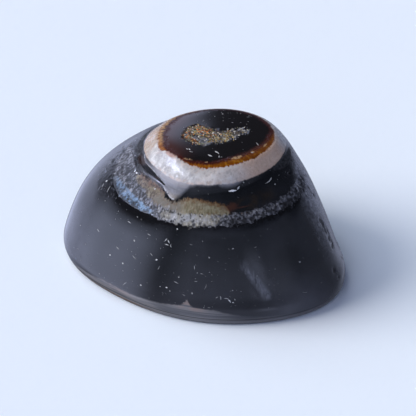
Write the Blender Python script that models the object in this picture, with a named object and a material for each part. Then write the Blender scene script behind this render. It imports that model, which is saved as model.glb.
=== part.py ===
"""An eye agate: one polished, domed stone with a raised round eye on its crown.

+Z is up and the flat base lies on z = 0, with the middle of the stone's box above the origin.
+X runs along the stone's length, towards its steep end, and +Y towards its back.

The form is a loft of closed outlines around the eye's axis. A place on it is a bearing, in degrees
from +X towards +Y, and a station, which counts down from 0 at the crown to 16 on the base.
Sizes are in millimetres until the mesh is made.
"""
import bpy
import numpy as np

METRES = 0.001

# Heights above the base
CROWN_HEIGHT = 9.57
EYE_RIM_HEIGHT = 9.40
RING_FOOT_HEIGHT = 8.54
GIRDLE_HEIGHT = 1.10
EDGE_HEIGHT = 0.40

# Where the eye's axis stands, from the middle of the stone's box
EYE_AT = (1.00, 0.37)

# Radii from the eye's axis, one for every 30 degrees of bearing
EYE_RIM = (4.05, 4.20, 4.35, 4.35, 4.25, 4.20, 4.10, 4.00, 4.05, 4.15, 3.95, 3.95)
RING_FOOT = (4.90, 5.10, 5.20, 5.10, 5.20, 5.25, 5.10, 4.90, 5.25, 5.35, 4.75, 4.65)
LEDGE = (6.10, 6.05, 6.25, 6.55, 7.00, 7.30, 7.40, 7.10, 7.00, 7.35, 7.35, 6.90)
GIRDLE = (8.50, 8.30, 8.25, 8.80, 9.95, 10.90, 10.95, 9.75, 9.35, 9.75, 10.35, 10.05)

# Also for every 30 degrees: the ledge's height, how far the base draws in under the girdle, how
# much the flank bulges, and how hollow the slope below the white ring is, from 0 to 1
LEDGE_HEIGHT = (6.75, 6.90, 7.05, 7.20, 7.40, 7.10, 6.60, 6.10, 6.05, 6.40, 6.70, 6.85)
TUCK = (0.05, 0.05, 0.05, 0.05, 0.05, 0.15, 0.35, 0.20, 0.05, 0.00, 0.00, 0.00)
BULGE = (0.40, 0.60, 0.80, 0.90, 0.95, 0.95, 0.75, 0.50, 0.40, 0.35, 0.30, 0.35)
HOLLOW = (0.35, 0.20, 0.05, 0.00, 0.00, 0.05, 0.35, 0.80, 1.00, 1.00, 0.90, 0.60)
GROOVE_DEPTH = 0.28

# The quartz seam in the eye: a sunk V with a coarse, lumpy floor, (x, y) from the eye's axis
SEAM_LINE = ((-1.75, 0.95), (-1.35, -0.45), (-0.15, -0.30), (0.85, 0.10), (1.75, 0.75))
SEAM_HALF_WIDTH = (0.75, 1.00, 0.80, 0.60, 0.50)
SEAM_DEPTH = 0.10
SEAM_LUMPS = 90
SEAM_LUMP_HEIGHT = 0.10
SEAM_LUMP_RADII = (0.16, 0.32)

# The grey tongue below the white ring, and the crevices beside it, as (bearing, station)
TONGUE_TOP_STATION = 5.2
TONGUE_EDGE = ((184, 6.0), (205, 6.1), (225, 6.1), (233, 6.6), (240, 7.1), (246, 6.3), (250, 5.2))
TONGUE_HEIGHT = 0.16
CREVICES = (
    ((186, 6.0), (200, 6.2), (215, 6.15), (228, 6.15)),
    ((190, 6.95), (205, 6.9), (222, 6.7), (232, 6.95), (240, 7.2)),
)
CREVICE_HALF_WIDTH = 0.16
CREVICE_DEPTH = 0.16

# The rough natural skin on the ledge: a band that is a little lower than the polish, and pitted
ROUGH_BEARINGS = (172, 338)
ROUGH_STATIONS = (7.5, 9.0)
ROUGH_DROP = 0.07
ROUGH_PITS = 150
ROUGH_PIT_DEPTH = 0.12
ROUGH_PIT_RADII = (0.18, 0.40)

# Chips in the polish of the steep end, as (bearing, station)
CHIPS = ((332, 10.4), (331, 11.1), (345, 11.9), (352, 10.2), (8, 12.2), (18, 11.0), (23, 13.2))
CHIP_DEPTH = 0.07
CHIP_RADIUS = 0.30

# The soft line down the front where two faces of the polish meet, as (bearing, station)
FACET_LINE = ((277, 9.8), (283, 10.8), (288, 11.6), (291, 12.4))
FACET_HEIGHT = 0.06
FACET_HALF_WIDTH = 0.55

# How finely the form is divided
SEGMENTS = 96
STATIONS_ON_EYE = np.arange(0.2, 2.2, 0.2)
STATIONS_ON_LEDGE = np.arange(2.2, 9.2, 0.3)
STATIONS_ON_FLANK = np.linspace(9.3, 16.0, 12)
CROWN_SEGMENTS = ((0.7, SEGMENTS // 4), (1.8, SEGMENTS // 2))
STATION_SPACING = 0.65
SEED = 7

STONE_COLOUR = (0.017, 0.018, 0.022, 1.0)
STONE_ROUGHNESS = 0.12


def around(values, bearings):
    """A smooth closed run through evenly spaced values, read at the bearings in degrees."""
    waves = np.fft.rfft(values) / len(values)
    order = np.arange(len(waves))
    weight = np.where((order == 0) | (2 * order == len(values)), 1.0, 2.0)
    turns = np.exp(1j * np.outer(np.radians(bearings), order))
    return (weight * waves * turns).real.sum(1)


def control_rings(bearings):
    """Radius and height of the loft's control rings at the bearings, from the crown down."""
    eye, foot = around(EYE_RIM, bearings), around(RING_FOOT, bearings)
    ledge, ledge_height = around(LEDGE, bearings), around(LEDGE_HEIGHT, bearings)
    girdle, tuck = around(GIRDLE, bearings), around(TUCK, bearings)
    bulge, hollow = around(BULGE, bearings), around(HOLLOW, bearings)

    def slope(part):
        """A ring on the way from the white ring's foot out to the ledge."""
        sag = 0.57 * (2 * hollow - 1) * part * (1 - part)
        drop = (RING_FOOT_HEIGHT - ledge_height) * (part + sag)
        return foot + part * (ledge - foot), RING_FOOT_HEIGHT - drop

    def flank(part):
        """A ring on the way from the ledge down to the girdle."""
        push = bulge * part * (1 - part)
        return ledge + (girdle - ledge) * (part + push), ledge_height * (1 - part + 0.6 * push)

    groove_radius, groove_height = slope(0.1)
    middle_height = 0.5 * (EYE_RIM_HEIGHT + RING_FOOT_HEIGHT)
    base = girdle - tuck
    rings = [
        (-0.5 * eye, CROWN_HEIGHT - 0.04),
        (0.0 * eye, CROWN_HEIGHT + 0.02),
        (0.5 * eye, CROWN_HEIGHT - 0.04),
        (0.86 * eye, EYE_RIM_HEIGHT + 0.10),
        (1.02 * eye, EYE_RIM_HEIGHT + 0.02),
        (0.5 * (eye + foot) + 0.05, middle_height + 0.06),
        (foot, RING_FOOT_HEIGHT),
        (groove_radius, groove_height - GROOVE_DEPTH * hollow),
        slope(0.35),
        slope(0.68),
        (ledge, ledge_height + 0.10),
        flank(0.22),
        flank(0.50),
        flank(0.78),
        (girdle, GIRDLE_HEIGHT),
        (0.5 * (girdle + base), EDGE_HEIGHT),
        (base - 0.10, 0.0),
        (base - 0.60, 0.0),
        (base - 1.10, 0.0),
    ]
    return np.array([(radius, height + 0.0 * eye) for radius, height in rings])


def smooth_point(bearings, station):
    """Points of the polished form at one station, as rows of x, y, z from the eye's axis."""
    rings = control_rings(bearings)
    first = min(int(station), len(rings) - 4)
    t = station - first
    weights = (
        (1 - t) ** 3 / 6,
        (3 * t ** 3 - 6 * t ** 2 + 4) / 6,
        (-3 * t ** 3 + 3 * t ** 2 + 3 * t + 1) / 6,
        t ** 3 / 6,
    )
    radius, height = sum(w * ring for w, ring in zip(weights, rings[first:first + 4]))
    turn = np.radians(bearings)
    return np.stack([radius * np.cos(turn), radius * np.sin(turn), height], axis=1)


def outward(bearings, station):
    """Unit normals of the polished form at one station."""
    step = 0.02
    along = smooth_point(bearings + step, station) - smooth_point(bearings - step, station)
    down = smooth_point(bearings, station + step) - smooth_point(bearings, station - step)
    normal = np.cross(down, along)
    return normal / np.linalg.norm(normal, axis=1)[:, None]


def ease(value, low, high):
    """0 below low, 1 above high, and a smooth step between them."""
    t = np.clip((value - low) / (high - low), 0.0, 1.0)
    return t * t * (3 - 2 * t)


def distance_to_line(x, y, line):
    """Distance from each point to a line of short straight runs, and how far along it that is."""
    best = np.full(x.shape, np.inf)
    place = np.zeros(x.shape)
    for index, (start, end) in enumerate(zip(line[:-1], line[1:])):
        run = np.subtract(end, start)
        part = ((x - start[0]) * run[0] + (y - start[1]) * run[1]) / (run @ run)
        part = np.clip(part, 0.0, 1.0)
        gap = np.hypot(x - start[0] - part * run[0], y - start[1] - part * run[1])
        place = np.where(gap < best, index + part, place)
        best = np.minimum(best, gap)
    return best, place


def on_skin(bearings, station, line):
    """Distance along the skin, in millimetres, from one station's points to a (bearing, station) line."""
    radius = np.hypot(*smooth_point(bearings, station)[:, :2].T)
    degree = np.radians(1.0) * radius.mean()
    middle = line[len(line) // 2][0]
    turned = (bearings - middle + 180) % 360 - 180
    scaled = [((b - middle) * degree, s * STATION_SPACING) for b, s in line]
    return distance_to_line(turned * degree, np.full(len(bearings), station * STATION_SPACING), scaled)[0]


def scatter(count, low, high, radii, rng):
    """Round marks spread evenly over a rectangle: x, y and radius of each."""
    places = rng.uniform(low, high, (count, 2))
    return np.column_stack([places, rng.uniform(*radii, count)])


def marks(x, y, places):
    """The strongest of many round marks at each point, from 0 outside them to 1 at a centre."""
    gap = np.hypot(x[:, None] - places[:, 0], y[:, None] - places[:, 1])
    return (1 - ease(gap, 0.0, places[:, 2])).max(axis=1)


def seam_relief(x, y, lumps):
    """Height of the quartz seam over the eye's polish."""
    gap, place = distance_to_line(x, y, SEAM_LINE)
    half_width = np.interp(place, range(len(SEAM_HALF_WIDTH)), SEAM_HALF_WIDTH)
    inside = 1 - ease(gap, 0.75 * half_width, 1.1 * half_width)
    return inside * (SEAM_LUMP_HEIGHT * marks(x, y, lumps) - SEAM_DEPTH)


def ledge_relief(bearings, station, pits):
    """Height of the tongue, the crevices and the rough skin over the form, at one station."""
    edge = np.interp(bearings % 360, *np.transpose(TONGUE_EDGE), left=0.0, right=0.0)
    tongue = ease(station, TONGUE_TOP_STATION, TONGUE_TOP_STATION + 0.5)
    tongue = tongue * (1 - ease(station - edge, -0.35, 0.05))
    height = TONGUE_HEIGHT * tongue
    for line in CREVICES:
        gap = on_skin(bearings, station, line)
        height = height - CREVICE_DEPTH * (1 - ease(gap, 0.0, CREVICE_HALF_WIDTH))
    low, high = ROUGH_STATIONS
    first, last = ROUGH_BEARINGS
    rough = ease(station, low - 0.3, low + 0.3) * (1 - ease(station, high - 0.15, high + 0.15))
    rough = rough * ease(bearings, first, first + 12) * (1 - ease(bearings, last - 12, last))
    degree = np.radians(1.0) * np.mean(LEDGE)
    pitted = marks(bearings * degree, np.full(len(bearings), station * STATION_SPACING), pits)
    return height - rough * (ROUGH_DROP + ROUGH_PIT_DEPTH * pitted)


def flank_relief(bearings, station):
    """Height of the chips and of the soft facet line over the flank, at one station."""
    height = FACET_HEIGHT * (1 - ease(on_skin(bearings, station, FACET_LINE), 0.0, FACET_HALF_WIDTH))
    for chip in CHIPS:
        gap = on_skin(bearings, station, (chip, (chip[0] + 1.0, chip[1] + 0.1)))
        height = height - CHIP_DEPTH * (1 - ease(gap, 0.0, CHIP_RADIUS))
    return height


def stone_rings():
    """Every ring of the stone's skin, from the crown down, as arrays of points in millimetres."""
    rng = np.random.default_rng(SEED)
    lumps = scatter(SEAM_LUMPS, (-2.6, -1.7), (2.4, 1.9), SEAM_LUMP_RADII, rng)
    degree = np.radians(1.0) * np.mean(LEDGE)
    low = (ROUGH_BEARINGS[0] * degree, ROUGH_STATIONS[0] * STATION_SPACING)
    high = (ROUGH_BEARINGS[1] * degree, ROUGH_STATIONS[1] * STATION_SPACING)
    pits = scatter(ROUGH_PITS, low, high, ROUGH_PIT_RADII, rng)
    rings = []
    for station in (*STATIONS_ON_EYE, *STATIONS_ON_LEDGE, *STATIONS_ON_FLANK):
        radius = smooth_point(np.zeros(1), station)[0, 0]
        segments = next((n for reach, n in CROWN_SEGMENTS if station < 3 and radius < reach), SEGMENTS)
        bearings = np.arange(segments) * 360.0 / segments
        points = smooth_point(bearings, station)
        if station < 2.4:
            height = seam_relief(points[:, 0], points[:, 1], lumps)
        elif station < 9.6:
            height = ledge_relief(bearings, station, pits)
        else:
            height = flank_relief(bearings, station) if station < 14 else np.zeros(segments)
        rings.append(points + height[:, None] * outward(bearings, station))
    rings[-1][:, 2] = 0.0
    return rings


def stitch(first, upper, lower):
    """Faces between two rings of the same count, or from one to the next with twice as many points.

    first is the index of the upper ring's first point; the lower ring's points follow it.
    """
    below = first + upper
    if upper == lower:
        for i in range(upper):
            j = (i + 1) % upper
            yield (first + i, below + i, below + j, first + j)
        return
    for i in range(upper):
        j = (i + 1) % upper
        left, middle, right = 2 * i, 2 * i + 1, 2 * j
        yield (first + i, below + left, below + middle)
        yield (first + i, below + middle, first + j)
        yield (first + j, below + middle, below + right)


def stone_mesh():
    """The stone's closed mesh, in metres, with its base on z = 0."""
    rings = stone_rings()
    crown = np.array([[0.0, 0.0, smooth_point(np.zeros(1), 0.0)[0, 2]]])
    crown[0, 2] += seam_relief(np.zeros(1), np.zeros(1), np.array([[0.0, 0.0, 0.1]]))[0]
    points = np.vstack([crown, *rings])
    points[:, :2] += EYE_AT
    faces = [(0, 1 + i, 1 + (i + 1) % len(rings[0])) for i in range(len(rings[0]))]
    first = 1
    for upper, lower in zip(rings[:-1], rings[1:]):
        faces.extend(stitch(first, len(upper), len(lower)))
        first += len(upper)
    faces.append(tuple(range(first, first + len(rings[-1])))[::-1])
    mesh = bpy.data.meshes.new("eye_agate")
    mesh.from_pydata((points * METRES).tolist(), [], faces)
    mesh.validate()
    mesh.shade_smooth()
    mesh.set_sharp_from_angle(angle=np.radians(40))
    return mesh


def polished_agate():
    """The dark, glossy stone's own material."""
    material = bpy.data.materials.new("polished_agate")
    material.use_nodes = True
    surface = material.node_tree.nodes["Principled BSDF"].inputs
    surface["Base Color"].default_value = STONE_COLOUR
    surface["Roughness"].default_value = STONE_ROUGHNESS
    surface["Metallic"].default_value = 0.0
    return material


def main():
    for old in list(bpy.data.objects):
        bpy.data.objects.remove(old, do_unlink=True)
    mesh = stone_mesh()
    mesh.materials.append(polished_agate())
    bpy.context.scene.collection.objects.link(bpy.data.objects.new("eye_agate", mesh))


main()
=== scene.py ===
"""The looks of a polished eye agate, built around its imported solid.

Sizes are in millimetres until a mesh is placed, and the frame is in metres. A place on the stone is
a bearing, in degrees from +X towards +Y round the eye's axis, and a station, which counts down from
0 at the crown to 16 at the edge of the flat base and 17 at its middle.
"""
import logging
import math
from dataclasses import dataclass, field
from enum import Enum

import bpy
import numpy as np
from mathutils import Matrix, Vector, noise


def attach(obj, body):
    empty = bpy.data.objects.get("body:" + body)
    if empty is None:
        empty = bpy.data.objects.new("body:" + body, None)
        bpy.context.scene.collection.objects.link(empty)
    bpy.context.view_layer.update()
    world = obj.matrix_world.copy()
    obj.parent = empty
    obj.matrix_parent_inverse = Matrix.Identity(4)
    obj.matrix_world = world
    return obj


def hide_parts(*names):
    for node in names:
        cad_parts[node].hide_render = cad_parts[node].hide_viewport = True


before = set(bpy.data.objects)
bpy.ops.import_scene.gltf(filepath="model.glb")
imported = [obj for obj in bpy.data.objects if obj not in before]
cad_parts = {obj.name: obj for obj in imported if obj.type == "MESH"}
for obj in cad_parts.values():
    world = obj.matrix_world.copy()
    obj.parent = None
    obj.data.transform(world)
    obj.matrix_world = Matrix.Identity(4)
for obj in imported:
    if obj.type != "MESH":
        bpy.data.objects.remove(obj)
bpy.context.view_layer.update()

log = logging.getLogger("eye_agate")

METRES = 0.001
NODE = "eye_agate"
BODY = "root"
NOISE_MIDDLE = 0.5

Array = np.ndarray
Span = tuple[float, float]
Spans = tuple[Span, Span]
Line = tuple[Span, ...]
Run = tuple[float, ...]
Colour = tuple[float, float, float]
Shape = tuple[Array, list[tuple[int, ...]]]
Socket = bpy.types.NodeSocket


class Depth(Enum):
    """How many times the faces of the stone's skin are halved, by how near they lie to a pole."""

    POLE = 1
    NEXT = 2
    SKIN = 3


class Grain(Enum):
    """The kinds of quartz grain by colour, in the order of the seam's shares."""

    HONEY = (0.46, 0.33, 0.13)
    ORANGE = (0.48, 0.16, 0.04)
    MOSS = (0.19, 0.20, 0.13)
    PALE = (0.66, 0.62, 0.54)
    SMOKY = (0.16, 0.165, 0.195)
    DARK = (0.012, 0.011, 0.011)


class Fleck(Enum):
    """The kinds of small mark that lie on the polish, by width as a share of length."""

    CHIP = 0.62
    SPLINTER = 0.13
    FIBRE = 0.075
    SLIVER = 0.26


CHIP, SPLINTER, FIBRE, SLIVER = Fleck


def ease(value: Array, low: float | Array, high: float | Array) -> Array:
    """Gives 0 below low, 1 above high, and a smooth step between them.

    Args:
        value: The values to read.
        low: Where the step starts.
        high: Where the step ends.

    Returns:
        The step at each value.
    """
    t = np.clip((value - low) / (high - low), 0.0, 1.0)
    return t * t * (3 - 2 * t)


def hump(value: Array, rise: Span, fall: Span) -> Array:
    """Gives 1 between a smooth rise and a smooth fall, and 0 before and after them."""
    return ease(value, *rise) * (1 - ease(value, *fall))


def closed_curve(values: Run, bearings: Array) -> Array:
    """Reads a smooth closed run through evenly spaced values.

    Args:
        values: The values, evenly spaced from bearing 0.
        bearings: Where to read it, in degrees.

    Returns:
        The run's value at each bearing.
    """
    waves = np.fft.rfft(values) / len(values)
    order = np.arange(len(waves))
    weight = np.where((order == 0) | (2 * order == len(values)), 1.0, 2.0)
    turns = np.exp(1j * np.outer(np.radians(bearings), order))
    return (weight * waves * turns).real.sum(1)


def boundary(line: Line, bearings: Array) -> Array:
    """Reads a zone's edge, given as (bearing, station) points round the stone.

    Args:
        line: The edge's points, in order of bearing.
        bearings: Where to read it, in degrees.

    Returns:
        The edge's station at each bearing.
    """
    degrees, stations = np.transpose(line)
    return np.interp(bearings, degrees, stations, period=360)


def distance_to_line(x: Array, y: Array, line: Line) -> Array:
    """Measures how far points are from a line of short straight runs.

    Args:
        x: First coordinate of the points.
        y: Second coordinate of the points.
        line: The line's own points.

    Returns:
        Each point's distance.
    """
    best = np.full(x.shape, np.inf)
    for start, end in zip(line[:-1], line[1:]):
        run = np.subtract(end, start)
        part = np.clip(((x - start[0]) * run[0] + (y - start[1]) * run[1]) / (run @ run), 0.0, 1.0)
        best = np.minimum(best, np.hypot(x - start[0] - part * run[0], y - start[1] - part * run[1]))
    return best


def depth_inside(x: Array, y: Array, outline: Line) -> Array:
    """Measures how far inside a closed outline points are, below 0 outside it.

    Args:
        x: First coordinate of the points.
        y: Second coordinate of the points.
        outline: The outline's corners.

    Returns:
        Each point's depth inside.
    """
    inside = np.zeros(x.shape, bool)
    closed = (*outline, outline[0])
    for (x0, y0), (x1, y1) in zip(closed[:-1], closed[1:]):
        crosses = (y0 > y) != (y1 > y)
        inside ^= crosses & (x < (x1 - x0) * (y - y0) / ((y1 - y0) or 1.0) + x0)
    gap = distance_to_line(x, y, closed)
    return np.where(inside, gap, -gap)


def ripple(points: Array, size: float, depth: int = 3) -> Array:
    """Reads smooth natural unevenness.

    Args:
        points: Rows of x, y, z in millimetres.
        size: Width of the broadest ripple, in millimetres.
        depth: How many finer ripples are added, each half as wide as the last.

    Returns:
        A value from about -1 to 1 at each point.
    """
    scaled = points / size
    return np.array([noise.fractal(Vector(p), 1.0, 2.0, depth) for p in scaled])


@dataclass(frozen=True)
class Loft:
    """The stone's polished form, a loft of closed outlines round the eye's axis, in millimetres."""

    crown_height: float = 9.57
    rim_height: float = 9.40
    foot_height: float = 8.54
    girdle_height: float = 1.10
    edge_height: float = 0.40
    eye_at: Span = (1.00, 0.37)
    eye_rim: Run = (4.05, 4.20, 4.35, 4.35, 4.25, 4.20, 4.10, 4.00, 4.05, 4.15, 3.95, 3.95)
    ring_foot: Run = (4.90, 5.10, 5.20, 5.10, 5.20, 5.25, 5.10, 4.90, 5.25, 5.35, 4.75, 4.65)
    ledge: Run = (6.10, 6.05, 6.25, 6.55, 7.00, 7.30, 7.40, 7.10, 7.00, 7.35, 7.35, 6.90)
    ledge_height: Run = (
        6.75, 6.90, 7.05, 7.20, 7.40, 7.10, 6.60, 6.10, 6.05, 6.40, 6.70, 6.85)
    girdle: Run = (
        8.50, 8.30, 8.25, 8.80, 9.95, 10.90, 10.95, 9.75, 9.35, 9.75, 10.35, 10.05)
    tuck: Run = (0.05, 0.05, 0.05, 0.05, 0.05, 0.15, 0.35, 0.20, 0.05, 0.0, 0.0, 0.0)
    bulge: Run = (0.40, 0.60, 0.80, 0.90, 0.95, 0.95, 0.75, 0.50, 0.40, 0.35, 0.30, 0.35)
    hollow: Run = (0.35, 0.20, 0.05, 0.0, 0.0, 0.05, 0.35, 0.80, 1.00, 1.00, 0.90, 0.60)
    groove_depth: float = 0.28
    base_station: float = 16.0
    half_step: Span = (0.5, 0.05)

    def control_rings(self, bearings: Array) -> Array:
        """Gives radius and height of the control rings at each bearing, from the crown down."""
        runs = (self.eye_rim, self.ring_foot, self.ledge, self.ledge_height, self.girdle, self.tuck,
                self.bulge, self.hollow)
        eye, foot, ledge, ledge_height, girdle, tuck, bulge, hollow = (
            closed_curve(run, bearings) for run in runs)
        base = girdle - tuck

        def slope(part: float) -> tuple[Array, Array]:
            """Gives a ring on the way from the white ring's foot out to the ledge."""
            sag = 0.57 * (2 * hollow - 1) * part * (1 - part)
            drop = (self.foot_height - ledge_height) * (part + sag)
            return foot + part * (ledge - foot), self.foot_height - drop

        def flank(part: float) -> tuple[Array, Array]:
            """Gives a ring on the way from the ledge down to the girdle."""
            push = bulge * part * (1 - part)
            return ledge + (girdle - ledge) * (part + push), ledge_height * (1 - part + 0.6 * push)

        groove_radius, groove_height = slope(0.1)
        rings = [
            # The domed eye.
            (-0.5 * eye, self.crown_height - 0.04),
            (0.0 * eye, self.crown_height + 0.02),
            (0.5 * eye, self.crown_height - 0.04),
            (0.86 * eye, self.rim_height + 0.10),
            (1.02 * eye, self.rim_height + 0.02),
            # The white ring, and the groove at its foot.
            (0.5 * (eye + foot) + 0.05, 0.5 * (self.rim_height + self.foot_height) + 0.06),
            (foot, self.foot_height),
            (groove_radius, groove_height - self.groove_depth * hollow),
            # The slope out to the ledge.
            slope(0.35),
            slope(0.68),
            (ledge, ledge_height + 0.10),
            # The flank.
            flank(0.22),
            flank(0.50),
            flank(0.78),
            # The girdle, and the edge and plane of the base.
            (girdle, self.girdle_height),
            (0.5 * (girdle + base), self.edge_height),
            (base - 0.10, 0.0),
            (base - 0.60, 0.0),
            (base - 1.10, 0.0),
        ]
        return np.array([(radius, height + 0.0 * eye) for radius, height in rings])

    def points(self, bearings: Array, stations: Array) -> Array:
        """Gives points of the form.

        Args:
            bearings: One bearing a point, in degrees.
            stations: One station a point.

        Returns:
            Rows of x, y, z from the foot of the eye's axis, in millimetres.
        """
        rings = self.control_rings(bearings)
        on_loft = np.minimum(stations, self.base_station)
        first = np.minimum(on_loft.astype(int), len(rings) - 4)
        t = on_loft - first
        weights = (
            (1 - t) ** 3 / 6,
            (3 * t ** 3 - 6 * t ** 2 + 4) / 6,
            (-3 * t ** 3 + 3 * t ** 2 + 3 * t + 1) / 6,
            t ** 3 / 6,
        )
        each = np.arange(len(bearings))
        radius, height = sum(w * rings[first + k, :, each].T for k, w in enumerate(weights))
        radius = radius * np.clip(1 + self.base_station - stations, 0.0, 1.0)
        turn = np.radians(bearings)
        return np.stack([radius * np.cos(turn), radius * np.sin(turn), height], axis=1)

    def placed(self, points: Array) -> Array:
        """Moves points from the eye's own axis into the frame, still in millimetres."""
        return points + np.array([*self.eye_at, 0.0])

    def rests(self, bearings: Array, stations: Array) -> tuple[Array, Array]:
        """Gives places on the form with a set of axes at each.

        Args:
            bearings: One bearing a place.
            stations: One station a place.

        Returns:
            Rows of x, y, z, and for each the directions round, down and out as a 3 by 3 array.
        """
        here = self.points(bearings, stations)
        aside, below = self.half_step
        round_it = self.points(bearings + aside, stations) - self.points(bearings - aside, stations)
        down = self.points(bearings, stations + below) - self.points(bearings, stations - below)
        out = np.cross(down, round_it)
        axes = np.stack([round_it, np.cross(round_it, out), out], axis=1)
        return here, axes / np.linalg.norm(axes, axis=2, keepdims=True)


@dataclass(frozen=True)
class Oval:
    """An oval patch: its centre's bearing and station, half its length and half its height."""

    bearing: float
    station: float
    length: float
    height: float

    def read(self, bearings: Array, stations: Array) -> Array:
        """Gives 1 at the patch's centre, 0 at its edge and below 0 outside.

        Args:
            bearings: One bearing a point.
            stations: One station a point.

        Returns:
            How far inside the patch each point is.
        """
        turned = (bearings - self.bearing + 180) % 360 - 180
        return 1 - np.hypot(turned / self.length, (stations - self.station) / self.height)


@dataclass(frozen=True)
class Arc:
    """A stretch between two bearings with soft ends, which starts below the stations of its rise."""

    low: float
    high: float
    soft: float
    rise: Span = (-2.0, -1.0)

    def read(self, bearings: Array, stations: Array) -> Array:
        """Gives 1 well inside the stretch and 0 outside it.

        Args:
            bearings: One bearing a point.
            stations: One station a point.

        Returns:
            How much of the stretch each point has.
        """
        width = self.high - self.low
        turned = (bearings - self.low) % 360
        turned = np.where(turned > 180 + width / 2, turned - 360, turned)
        ends = hump(turned, (-self.soft, self.soft), (width - self.soft, width + self.soft))
        return ends * ease(stations, *self.rise)


@dataclass(frozen=True)
class Pattern:
    """Where the stone's colours and finishes meet, as (bearing, station) lines and patches."""

    skin_radius: float = 7.0
    station_spacing: float = 0.65
    # The eye's rings, from its middle out.
    disc_edge: Line = (
        (0, 2.25), (15, 2.5), (90, 2.62), (130, 2.5), (150, 2.32), (180, 2.28), (192, 2.34), (205, 2.6),
        (215, 2.6), (225, 2.7), (235, 2.8), (245, 2.8), (255, 2.6), (265, 2.45), (275, 2.2), (285, 2.0),
        (300, 2.0), (315, 2.05), (330, 2.0), (345, 2.1))
    amber_edge: Line = (
        (0, 2.8), (20, 2.75), (90, 2.9), (150, 2.9), (165, 2.95), (180, 3.0), (190, 3.1), (197, 3.38),
        (204, 3.5), (208, 3.08), (212, 2.8), (222, 2.8), (228, 2.95), (235, 3.15), (245, 3.35), (254, 3.45),
        (262, 3.3), (270, 3.2), (285, 3.1), (305, 3.05), (320, 2.95), (335, 2.85), (345, 2.8))
    white_edge: Line = (
        (15, 4.9), (90, 5.1), (165, 5.0), (180, 5.2), (195, 5.35), (215, 5.3), (235, 5.3), (250, 5.2),
        (258, 5.05), (270, 5.0), (285, 5.1), (315, 5.2), (330, 5.05), (345, 4.75), (355, 4.65))
    # The rough ledge, the steep end beside it and the shade below it.
    rough_start: Line = (
        (0, 8.0), (90, 7.2), (165, 6.3), (185, 7.0), (205, 7.1), (225, 7.4), (240, 7.5), (255, 7.75),
        (268, 7.75), (277, 7.95), (300, 8.1), (320, 8.1), (334, 7.9), (350, 7.7))
    rough_end: Line = (
        (90, 8.8), (180, 8.8), (200, 8.97), (215, 8.88), (224, 8.85), (233, 8.95), (330, 8.9))
    rough_reach: Arc = Arc(172.0, 348.0, 14.0)
    rough_fade: float = 1.2
    steep_start: Line = ((0, 6.3), (20, 6.2), (300, 8.6), (322, 8.2), (335, 7.6), (345, 6.9))
    shade_top: float = 8.8
    shade_foot: Line = (
        (176, 8.8), (184, 9.2), (198, 9.45), (206, 9.65), (228, 9.60), (238, 9.25), (262, 9.15),
        (300, 9.15), (322, 9.2), (328, 8.8))
    # The khaki lens.
    lens_top: Line = (
        (222, 8.2), (225, 7.1), (230, 6.95), (235, 7.12), (240, 7.25), (245, 6.85), (250, 6.58),
        (255, 6.50), (262, 6.60), (268, 6.75), (273, 7.0), (276, 7.3), (278.5, 8.2))
    lens_foot: float = 8.05
    # The pale edge round the base, and the dark line in it.
    base_edge: Line = (
        (0, 13.5), (150, 13.5), (190, 13.6), (206, 13.35), (213, 13.1), (230, 13.2), (246, 13.0),
        (254, 12.75), (255.7, 12.5), (257.2, 12.15), (258.7, 12.6), (260, 12.75), (269, 12.85), (275, 13.2),
        (281, 13.45), (291, 13.7), (300, 13.85), (330, 13.8))
    base_line: float = 14.0
    # The grey tongue, its two crevices and the facet down the front.
    tongue_top: float = 5.2
    tongue_edge: Line = (
        (188, 5.4), (195, 5.97), (205, 5.86), (211, 5.84), (215, 5.94), (223, 6.1), (227, 6.22),
        (228.5, 6.58), (231.5, 6.74), (237.5, 7.12), (241.5, 7.08), (244.5, 6.75), (247, 6.2), (250, 5.6),
        (255, 5.32), (270, 5.2), (274, 5.5), (280, 5.65), (286, 5.5), (292, 5.2))
    crevices: tuple[Line, ...] = (
        ((184, 5.95), (190, 6.1), (195, 6.18), (205, 6.12), (213, 6.06), (218, 6.09), (223, 6.14),
         (228.5, 6.26)),
        ((188, 6.75), (194, 6.92), (198, 6.97), (204, 6.84), (211, 6.70), (218, 6.67), (223, 6.62),
         (228, 6.60), (231.5, 6.78), (238, 7.17)))
    crevice_halves: tuple[Line, ...] = (
        ((180, 0.06), (190, 0.14), (205, 0.15), (212, 0.10), (219, 0.05), (229, 0.0)),
        ((186, 0.0), (200, -0.03), (215, -0.05), (228, -0.05), (239, -0.06)))
    facet_line: Line = (
        (9.8, 279.8), (10.4, 280.3), (10.8, 281.5), (11.26, 285.2), (11.7, 288.0), (12.4, 290.4))
    # The seam, with its outlines in millimetres from the eye's axis.
    eye_end: float = 3.0
    seam_outline: Line = (
        (-2.4, 0.0), (-2.2, 0.9), (-1.9, 1.3), (-1.4, 1.65), (-0.9, 1.3), (-0.5, 0.9), (-0.1, 0.65),
        (0.4, 0.55), (0.9, 0.85), (1.4, 1.2), (1.9, 1.3), (2.2, 0.9), (2.1, 0.2), (1.6, -0.1),
        (1.2, -0.6), (0.6, -0.95), (0.0, -1.2), (-0.4, -1.1), (-0.9, -1.5), (-1.5, -1.3), (-2.0, -0.9),
        (-2.4, -0.4))
    smooth_seam: Line = ((-1.8, -0.2), (-1.2, 0.0), (-0.8, -0.4), (-0.3, -0.7), (-0.4, -1.5), (-1.2, -1.4))
    seam_end: Span = (0.8, 1.3)
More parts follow.
